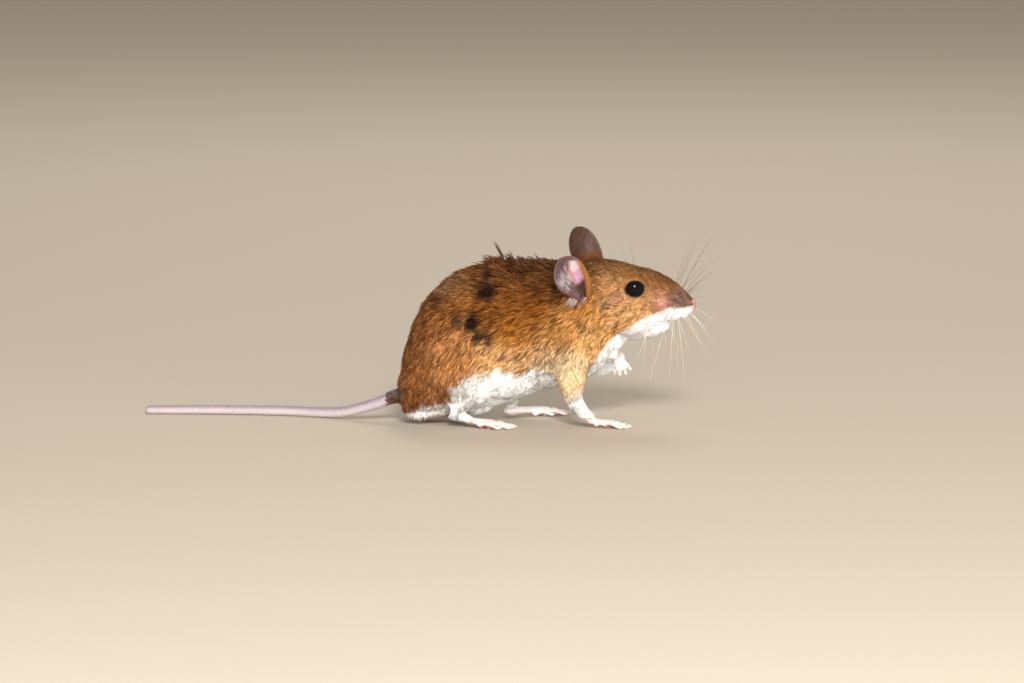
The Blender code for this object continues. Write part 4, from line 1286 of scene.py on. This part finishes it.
store(skin, "tint", np.column_stack([np.clip(colours, 0, 1), np.ones(len(raw))]), "FLOAT_COLOR")
store(skin, "lie", lie, "FLOAT_VECTOR")
looks = dict(deep=depth, long=length, thick=thick, wide=width, contrast=contrast, ring=ring, tail=tail)
for name, values in looks.items():
    store(skin, name, values)
print("tint from", np.round(colours.min(0), 3), "to", np.round(colours.max(0), 3))

# %% Regions that the coat is cut into
PARTS = ("rump", "loin", "flank", "shoulder", "neck", "face", "belly", "chest")
REGIONS = ["coat_%s_%s" % (part, side) for part in PARTS for side in ("right", "left")]
UNDER = REGIONS.index("coat_belly_right")
REGIONS += ["hair_ears", "hair_feet", "hair_tail"]
HAIRS = REGIONS.index("hair_ears")
SLABS = (-12.0, -1.0, 10.0, 20.0, 32.0)


def whole_numbers(items, field):
    """A field of whole numbers of all of a mesh's items as an array."""
    flat = np.empty(len(items), np.int32)
    items.foreach_get(field, flat)
    return flat


def means_over_faces(obj, values):
    """The mean of a point value over the corners of each face."""
    faces = obj.data.polygons
    corners = np.asarray(values, float)[whole_numbers(obj.data.loops, "vertex_index")]
    return np.add.reduceat(corners, whole_numbers(faces, "loop_start")) / whole_numbers(faces, "loop_total")


face_x, face_y, face_white = (means_over_faces(skin, values) for values in (x, y, white))
face_kind = np.round(means_over_faces(skin, kind))
region = np.searchsorted(SLABS, face_x) * 2 + (face_y > 0)
is_under = (face_white > 0.5) & (face_x < 40)
region = np.where(is_under, UNDER + 2 * (face_x > 10) + (face_y > 0), region)
region = np.select(
    [face_kind == EAR, face_kind == FOOT, face_kind == TAILS], [HAIRS, HAIRS + 1, HAIRS + 2], region
)
store(skin, "region", region, "INT", "FACE")
print("faces in regions", np.bincount(region.astype(int)))

# %% [markdown]
# ## An unwrap for the roots
# Every tuft gets the place of its root on a flat map of the skin, for baking. Each region of the
# skin is unwrapped by itself, so that it fills its own map.

# %% Unwrapping each region
skin.data.uv_layers.new(name="roots")
bpy.context.view_layer.objects.active = skin
skin.select_set(True)
for index in range(len(REGIONS)):
    skin.data.polygons.foreach_set("select", region == index)
    bpy.ops.object.mode_set(mode="EDIT")
    bpy.ops.uv.smart_project(angle_limit=math.radians(66), island_margin=0.004)
    bpy.ops.object.mode_set(mode="OBJECT")
print("unwrapped", len(REGIONS), "regions")

# %% [markdown]
# ## Tufts
# Under the camera a mouse's coat reads as strokes a fraction of a millimetre wide: hairs that lie
# together. A tuft is such a stroke, a thin bent spike of ten triangles. It leaves the skin, arches
# and lies down, with its tip at the coat's depth. A few spikes that differ in bend are kept in a
# collection, one unit long, wide and deep, and are scaled where they grow.

# %% Four kinds of tuft
BENDS = ((0.0, 0.62), (0.14, 0.7), (-0.14, 0.55), (0.06, 0.8))
TUFT_ROOT, TUFT_WAIST = 0.62, 0.9


def tuft(index, sway, arch):
    """A spike from (0, 0, 0) to (1, sway, 1), with its own map and the share along it."""
    points = []
    for along, across, up, wide in ((0.0, 0.0, 0.0, TUFT_ROOT), (0.46, sway * 0.35, arch, TUFT_WAIST)):
        points += [(along, across - wide / 2, up), (along, across + wide / 2, up)]
        points.append((along + 0.02, across, up + 0.1))
    points.append((1.0, sway, 1.0))
    faces = [(0, 3, 4, 1), (1, 4, 5, 2), (2, 5, 3, 0), (3, 6, 4), (4, 6, 5), (5, 6, 3), (0, 1, 2)]
    obj = object_of("tuft_%d" % index, points, faces)
    bpy.context.scene.collection.objects.unlink(obj)
    flat = [(px + (0.1 if k in (2, 5) else 0.0), py + 0.5, 0.0) for k, (px, py, _) in enumerate(points)]
    store(obj, "tuft_map", np.array(flat) * (0.8, 0.7, 1) + (0.05, 0.15, 0), "FLOAT_VECTOR")
    store(obj, "along", [0, 0, 0, 0.5, 0.5, 0.5, 1])
    return obj


tufts = bpy.data.collections.new("tufts")
for index, (sway, arch) in enumerate(BENDS):
    tufts.objects.link(tuft(index, sway, arch))

# %% [markdown]
# ## Growing the coat with Geometry Nodes
# Growing is the same everywhere, so one node tree does it: keep one region of the skin, scatter
# roots on it at the stored density, turn each tuft so that it stands on the skin and points the way
# the hair lies, and scale it to the stored length, width and depth. Wet or ungroomed hair gathers
# in points, so a Voronoi pattern divides the skin into cells, and every tuft leans towards the
# middle of its cell. At the end the instances are made real and each corner gets its place on the
# baking map.


# %% The tree
TREE_INPUTS = (
    ("Region", "NodeSocketInt"),
    ("Seed", "NodeSocketInt"),
    ("Tufts", "NodeSocketCollection"),
    ("Finish", "NodeSocketMaterial"),
    ("Clump size", "NodeSocketFloat"),
    ("Clump pull", "NodeSocketFloat"),
    ("Density", "NodeSocketFloat"),
)
PATCH, SHAKE = 0.003, 0.13


def named(tree, name, data_type="FLOAT"):
    """The stored attribute with that name."""
    made = node(tree, "GeometryNodeInputNamedAttribute", {"Name": name}, data_type=data_type)
    return made.outputs["Attribute"]


def chance(tree, low, high, seed):
    """A random number for each item."""
    values = {"Min_001": low, "Max_001": high, "Seed": seed}
    return socket(node(tree, "FunctionNodeRandomValue", values, data_type="FLOAT").outputs, "Value_001")


def kept_as(tree, geometry, name, value, data_type, domain):
    """Geometry with a value kept on it under a name."""
    values = {"Geometry": geometry, "Name": name, "Value": value}
    made = node(tree, "GeometryNodeStoreNamedAttribute", values, data_type=data_type, domain=domain)
    return made.outputs[0]


def grow_tree():
    """The node tree that grows tufts on one region of the skin."""
    tree = bpy.data.node_groups.new("grow tufts", "GeometryNodeTree")
    tree.interface.new_socket("Geometry", in_out="INPUT", socket_type="NodeSocketGeometry")
    for name, kind in TREE_INPUTS:
        tree.interface.new_socket(name, in_out="INPUT", socket_type=kind)
    tree.interface.new_socket("Geometry", in_out="OUTPUT", socket_type="NodeSocketGeometry")
    given = node(tree, "NodeGroupInput").outputs

    values = {"A_INT": named(tree, "region", "INT"), "B_INT": given["Region"]}
    same = node(tree, "FunctionNodeCompare", values, data_type="INT", operation="EQUAL").outputs["Result"]
    values = {"Geometry": given["Geometry"], "Selection": same}
    kept = node(tree, "GeometryNodeSeparateGeometry", values, domain="FACE").outputs["Selection"]
    values = {"Mesh": kept, "Density": product(tree, named(tree, "thick"), 1e6, given["Density"])}
    scatter = node(tree, "GeometryNodeDistributePointsOnFaces", {**values, "Seed": given["Seed"]})

    place = node(tree, "GeometryNodeInputPosition").outputs[0]
    values = {"Vector": place, "Scale": sums(tree, "DIVIDE", 1000.0, given["Clump size"])}
    cells = node(tree, "ShaderNodeTexVoronoi", values)
    to_middle = arrows(tree, "SUBTRACT", cells.outputs["Position"], place)
    inwards = arrows(tree, "SCALE", to_middle, given["Clump pull"])
    long = product(tree, named(tree, "long"), MM)
    values = {"Min": (-1, -1, -1), "Max": (1, 1, 1), "Seed": 11}
    shake = node(tree, "FunctionNodeRandomValue", values, data_type="FLOAT_VECTOR").outputs[0]
    way = arrows(tree, "ADD", arrows(tree, "SCALE", shake, SHAKE), named(tree, "lie", "FLOAT_VECTOR"))
    way = arrows(tree, "ADD", arrows(tree, "SCALE", way, long), inwards)
    values = {"Primary Axis": scatter.outputs["Normal"], "Secondary Axis": way}
    turn = node(tree, "FunctionNodeAxesToRotation", values, primary_axis="Z", secondary_axis="X")
    scale = [
        product(tree, long, chance(tree, 0.65, 1.15, 21)),
        product(tree, named(tree, "wide"), MM, chance(tree, 0.7, 1.3, 22)),
        product(tree, named(tree, "deep"), MM, chance(tree, 0.45, 1.1, 23)),
    ]
    size = node(tree, "ShaderNodeCombineXYZ", enumerate(scale)).outputs[0]
    values = {"Collection": given["Tufts"], "Separate Children": True, "Reset Children": True}
    choices = node(tree, "GeometryNodeCollectionInfo", values).outputs[0]
    values = {"Points": scatter.outputs["Points"], "Instance": choices, "Pick Instance": True}
    values |= {"Rotation": turn.outputs[0], "Scale": size}
    grown = node(tree, "GeometryNodeInstanceOnPoints", values).outputs[0]
    cell_share = node(tree, "ShaderNodeSeparateXYZ", {0: cells.outputs["Color"]}).outputs[0]
    shade = sums(tree, "ADD", product(tree, cell_share, 0.35), chance(tree, 0.0, 0.65, 31))
    shaded = kept_as(tree, grown, "shade", shade, "FLOAT", "INSTANCE")
    real = node(tree, "GeometryNodeRealizeInstances", {"Geometry": shaded}).outputs[0]
    patch = arrows(tree, "SUBTRACT", named(tree, "tuft_map", "FLOAT_VECTOR"), (0.5, 0.5, 0.0))
    spread = arrows(tree, "ADD", arrows(tree, "SCALE", patch, PATCH), named(tree, "roots", "FLOAT_VECTOR"))
    mapped = kept_as(tree, real, "OFBake", spread, "FLOAT2", "CORNER")
    for name in ("lie", "deep", "long", "thick", "wide", "region", "roots", "tuft_map", "ring", "tail"):
        mapped = node(tree, "GeometryNodeRemoveAttribute", {"Geometry": mapped, "Name": name}).outputs[0]
    values = {"Geometry": mapped, "Material": given["Finish"]}
    finished = node(tree, "GeometryNodeSetMaterial", values).outputs[0]
    node(tree, "NodeGroupOutput", {"Geometry": finished})
    return tree


# %% [markdown]
# ## Materials
# The coat's shader takes the tint that the skin gave each tuft, makes it darker at the root and
# lighter towards the tip, and lets single tufts be darker or more golden than their neighbours.
# The skin's shader takes the same tint, and adds rings on the tail and fine pores by bump.


# %% Coat
BRIGHTEST = 0.94
ROOT_TONE, TIP_TONE = 0.5, 1.5
SHADES = (
    (0.1, (0.24, 0.19, 0.14)),
    (0.95, (1.65, 1.85, 2.3)),
    (0.3, (0.62, 0.6, 0.56)),
    (0.5, (1.0, 1.0, 1.0)),
    (0.75, (1.25, 1.3, 1.4)),
)


def coat_material():
    """Dark at a tuft's root, light at its tip, and different from tuft to tuft where contrast is high."""
    material, tree, shader = new_material("coat")
    contrast = look_up(tree, "contrast")
    root_tone = stretched(tree, contrast, 0.0, 1.0, 1.0, ROOT_TONE)
    lift = stretched(tree, look_up(tree, "along"), 0.0, 1.0, root_tone, TIP_TONE)
    differ = node(tree, "ShaderNodeValToRGB", {"Fac": look_up(tree, "shade")})
    stops = differ.color_ramp.elements
    for k, (position, colour) in enumerate(SHADES):
        stop = stops[k] if k < 2 else stops.new(position)
        stop.position, stop.color = position, (*colour, 1)
    values = {"Factor_Float": contrast, "A_Color": (1, 1, 1, 1), "B_Color": differ.outputs["Color"]}
    calm = socket(node(tree, "ShaderNodeMix", values, data_type="RGBA").outputs, "Result_Color")
    lifted = arrows(tree, "SCALE", arrows(tree, "MULTIPLY", look_up(tree, "tint"), calm), lift)
    red, green, blue = node(tree, "ShaderNodeSeparateXYZ", {0: lifted}).outputs
    brightest = sums(tree, "MAXIMUM", sums(tree, "MAXIMUM", red, green), blue)
    kept = sums(tree, "DIVIDE", BRIGHTEST, sums(tree, "MAXIMUM", brightest, BRIGHTEST))
    tree.links.new(arrows(tree, "SCALE", lifted, kept), shader.inputs["Base Color"])
    set_finish(shader, 0.65, 0.14)
    return material


coat_finish = coat_material()

# %% Skin, horn and eye
RING_STEP = 0.42


def skin_material():
    """The stored tint, with rings on the tail and fine pores."""
    material, tree, shader = new_material("skin")
    place = node(tree, "ShaderNodeTexCoord").outputs["Object"]
    wave = sums(tree, "SINE", product(tree, look_up(tree, "ring"), 2 * math.pi / RING_STEP))
    rings = product(tree, wave, look_up(tree, "tail"))
    pores = node(tree, "ShaderNodeTexNoise", {"Vector": place, "Scale": 2600.0, "Detail": 3.0}).outputs[0]
    height = sums(tree, "MULTIPLY_ADD", rings, 0.7, pores)
    bump = node(tree, "ShaderNodeBump", {"Height": height, "Strength": 0.55, "Distance": 0.00008})
    tone = stretched(tree, rings, -1.0, 1.0, 0.86, 1.04)
    tree.links.new(arrows(tree, "SCALE", look_up(tree, "tint"), tone), shader.inputs["Base Color"])
    tree.links.new(bump.outputs[0], shader.inputs["Normal"])
    set_finish(shader, 0.5, 0.3)
    return material


skin.data.materials.clear()
skin.data.materials.append(skin_material())
eye_finish = plain_material("eye", (0.0024, 0.002, 0.0022), 0.06, 0.18)
claw_finish = plain_material("claw", shown(206, 178, 164), 0.35)

# %% Growing every region: size of its clumps in millimetres, and how far tufts lean into them
CLUMPS = {
    "rump": (1.9, 0.75),
    "loin": (2.0, 0.7),
    "flank": (2.0, 0.7),
    "shoulder": (1.8, 0.65),
    "neck": (1.3, 0.6),
    "face": (0.9, 0.45),
    "belly": (1.4, 0.3),
    "chest": (1.3, 0.3),
    "ears": (0.6, 0.2),
    "feet": (0.6, 0.2),
    "tail": (0.6, 0.1),
}
grower = grow_tree()
sockets = {item.name: item.identifier for item in grower.interface.items_tree if item.in_out == "INPUT"}


def grow(index, name):
    """One piece of coat, as a plain mesh."""
    size, pull = CLUMPS[name.split("_")[1]]
    carrier = bpy.data.objects.new(name + "_carrier", skin.data)
    bpy.context.scene.collection.objects.link(carrier)
    modifier = carrier.modifiers.new("grow", "NODES")
    modifier.node_group = grower
    settings = {"Region": index, "Seed": 100 + index, "Tufts": tufts, "Finish": coat_finish}
    settings |= {"Clump size": size, "Clump pull": pull, "Density": 1.0}
    for key, value in settings.items():
        modifier[sockets[key]] = value
    mesh = evaluated_mesh(carrier)
    bpy.data.objects.remove(carrier)
    mesh.name = name
    mesh.shade_smooth()
    piece = bpy.data.objects.new(name, mesh)
    bpy.context.scene.collection.objects.link(piece)
    move_to(piece, points_of(piece))
    return piece


coat = {name: grow(index, name) for index, name in enumerate(REGIONS)}
sizes = {name: len(piece.data.loops) - 2 * len(piece.data.polygons) for name, piece in coat.items()}
print(sizes)
print("coat triangles", sum(sizes.values()))

# %% Eyes and claws
eyeballs = {}
for side, name in ((-1, "eyeball_right"), (1, "eyeball_left")):
    ball = egg(eye_middle(side), (EYE_RADIUS,) * 3, segments=64, rings=40)
    eyeballs[side] = piece_of(name, [ball], eye_finish)
claws = piece_of("claws", claw_forms, claw_finish)
move_to(claws, points_of(claws))

# %% [markdown]
# ## Whiskers
# The long upper whiskers are dark and sweep up and forwards. The lower ones and the bristles of lip
# and chin are pale and hang down. Each is a thin tapering tube from the skin along a bend, held by
# named ends: its root on the face and its tip. The left side has its own, a little different.

# %% Whisker ends: root x, z and tip x, out, z, with the head straight
DARK_WHISKERS = (
    ((47.6, 36.6), (52.3, 6, 51.2)), ((48.4, 36.2), (55.4, 9, 53.2)), ((49.0, 35.6), (57.8, 8, 51.0)),
    ((48.0, 35.4), (58.8, 13, 47.2)), ((49.6, 35.0), (58.6, 11, 43.2)), ((48.8, 34.6), (57.0, 15, 40.4)),
    ((50.2, 34.6), (57.0, 5, 41.0)), ((49.8, 34.0), (56.8, 10, 36.4)), ((49.0, 33.4), (55.0, 14, 33.8)),
    ((46.4, 33.0), (43.4, 8.8, 29.6)), ((47.2, 32.6), (45.0, 8.6, 28.8)), ((48.0, 32.4), (46.6, 8.0, 28.4)),
    ((45.8, 33.8), (42.4, 9.8, 31.4)),
)
PALE_WHISKERS = (
    ((47.5, 32.0), (46.6, 10, 14.0)), ((48.4, 31.6), (50.8, 9, 12.8)), ((49.3, 31.8), (57.5, 9, 19.4)),
    ((46.4, 31.6), (41.6, 12, 13.4)), ((50.2, 32.2), (57.6, 8, 26.4)), ((47.6, 33.0), (52.5, 15, 22.0)),
    ((40.0, 27.5), (39.6, 9, 17.2)), ((40.6, 28.2), (38.2, 11, 18.6)), ((50.6, 31.0), (54.5, 5, 24.5)),
    ((45.0, 26.8), (45.4, 4, 21.8)), ((46.4, 26.9), (47.6, 3, 21.6)),
)
BROW_WHISKERS = (
    ((36.5, 41.5), (33.2, 8.5, 49.0)), ((37.4, 41.6), (36.4, 9, 49.4)), ((33.6, 34.5), (28.5, 13, 37.5)),
)
WHISKER_ROOT_OUT, WHISKER_TAPER = 3.5, 0.82
# How much of the named reach outwards is drawn on each side, and how many of the rows
WHISKER_SPREAD = {-1: 0.65, 1: 0.9}
WHISKER_STEP = {-1: 1, 1: 2}
TWIST_WAY = np.array((1.0, 1.0, -1.0))
skin_tree = BVHTree.FromObject(skin, bpy.context.evaluated_depsgraph_get())


def on_skin(place):
    """The place of the skin that is nearest to a place, both in the maker's millimetres."""
    return makers(skin_tree.find_nearest(Vector(placed(place)))[0])


def whisker(root, tip, side, bend, radius):
    """A tapering tube from the skin at a root, along a bend, to a tip."""
    start = on_skin(on_head((root[0], side * WHISKER_ROOT_OUT, root[1])))
    end = on_head((tip[0], side * tip[1] * WHISKER_SPREAD[side], tip[2]))
    span = end - start
    middle = start + 0.5 * span + np.array((0.0, side * 0.12, bend)) * np.linalg.norm(span)
    rows = []
    for share in (0, 0.2, 0.4, 0.6, 0.8, 1.0):
        place = (1 - share) ** 2 * start + 2 * share * (1 - share) * middle + share**2 * end
        rows.append((*place, radius * (1 - WHISKER_TAPER * share)))
    return tube(rows, sides=5, steps=2, domes=1)


def whisker_piece(name, rows, bend, radius, colour):
    """All whiskers of one kind as one object; the left ones are turned a little."""
    shapes = []
    for side in (-1, 1):
        for root, tip in rows[:: WHISKER_STEP[side]]:
            twist = 0.0 if side < 0 else 0.7 * math.sin(root[0] * 9 + root[1] * 5)
            shapes.append(whisker(root, np.array(tip) + twist * TWIST_WAY, side, bend, radius))
    return piece_of(name, shapes, plain_material(name, colour, 0.4))


whiskers = [
    whisker_piece("whiskers_dark", DARK_WHISKERS, 0.09, 0.05, shown(62, 44, 36)),
    whisker_piece("whiskers_pale", PALE_WHISKERS, 0.04, 0.055, shown(222, 206, 178)),
    whisker_piece("bristles_brow", BROW_WHISKERS, 0.06, 0.035, shown(70, 50, 38)),
]

# %% Wet locks on the back: base x and z, tip x and z, base y, hairs
LOCKS = [
    ((1.4, 42.6), (-1.5, 49.4), -1.0, 16),
    ((3.2, 42.8), (2.3, 47.0), -0.5, 7),
    ((4.2, 42.8), (5.0, 45.9), -2.0, 5),
]
SMALL_LOCKS, SMALL_LOCK_HAIRS = 20, 4
for k in range(SMALL_LOCKS):
    start_x = -3.0 + 0.8 * k + 0.5 * math.sin(5.3 * k)
    rise = 2.0 + 0.8 * math.sin(7.1 * k)
    end_x = start_x - 1.9 + 0.9 * math.sin(3.7 * k)
    LOCKS.append(((start_x, 42.6), (end_x, 42.9 + rise), 2.6 * math.sin(2.3 * k), SMALL_LOCK_HAIRS))


def lock(base, tip, side_place, hairs):
    """A lock of wet hair: fine spikes that start apart and meet at the tip."""
    shapes = []
    for k in range(hairs):
        turn, spread = 2.4 * k, 0.62 * math.sqrt((k + 0.3) / hairs)
        aside = side_place + spread * math.sin(turn)
        start = np.array((base[0] + spread * math.cos(turn), aside, base[1] - 0.6))
        share = 1.0 - 0.32 * ((k * 0.618) % 1) * (k > 0)
        end = start + (np.array((tip[0], side_place, tip[1])) - start) * share
        end = end + 0.35 * np.array((math.sin(9.1 * k), math.cos(7.3 * k), 0.0)) * (k > 1)
        middle = 0.5 * (start + end) + (0.35, 0.0, 0.25)
        rows = [(*start, 0.12), (*middle, 0.1), (*end, 0.02)]
        shapes.append(tube(rows, sides=4, steps=3, domes=1))
    return shapes


lock_shapes = [shape for row in LOCKS for shape in lock(*row)]
locks = piece_of("locks_back", lock_shapes, plain_material("wet hair", shown(74, 44, 24), 0.5))

# %% Pale hairs under the near ear
EAR_TUFT_ROOT, EAR_TUFT_WAY = np.array((20.6, -9.4, 34.2)), np.array((-0.75, -0.15, -0.95))
EAR_TUFT_REACH = np.array((1.7, 0.3, 0.5))
EAR_TUFT_HAIRS = 150
ear_tuft = []
for k in range(EAR_TUFT_HAIRS):
    off = EAR_TUFT_REACH * (math.sin(11.3 * k), math.sin(7.9 * k), math.sin(5.1 * k))
    start = on_skin(EAR_TUFT_ROOT + off)
    way = EAR_TUFT_WAY + 0.28 * np.array((math.sin(3.7 * k), math.sin(2.9 * k), math.sin(6.1 * k)))
    end = start + (1.3 + 0.6 * math.sin(13.1 * k)) * way
    middle = 0.5 * (start + end) + (0.0, -0.3, 0.2)
    ear_tuft.append(tube([(*start, 0.035), (*middle, 0.035), (*end, 0.01)], sides=4, steps=3, domes=1))
ear_hairs = piece_of("hairs_ear_root", ear_tuft, plain_material("pale hair", shown(172, 156, 156), 0.6))

# %% [markdown]
# ## The pieces on the body
# The skin takes the place of the flesh solids, and each eyeball of its solid. The coat, claws,
# whiskers and locks are extra. Everything rides on the one body.

# %% Riders
FLESH = [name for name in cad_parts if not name.startswith("eye_")]
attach(skin, "root")
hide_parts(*FLESH)
for side, name in ((-1, "eye_right"), (1, "eye_left")):
    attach(eyeballs[side], "root")
    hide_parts(name)
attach(claws, "root")
for name, piece in coat.items():
    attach(piece, "root")
for piece in (*whiskers, locks, ear_hairs):
    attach(piece, "root")

end_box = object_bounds()
for label, box in (("cad", cad_box), ("visual", end_box)):
    print(label, [[round(float(v) / MM, 1) for v in corner] for corner in box])
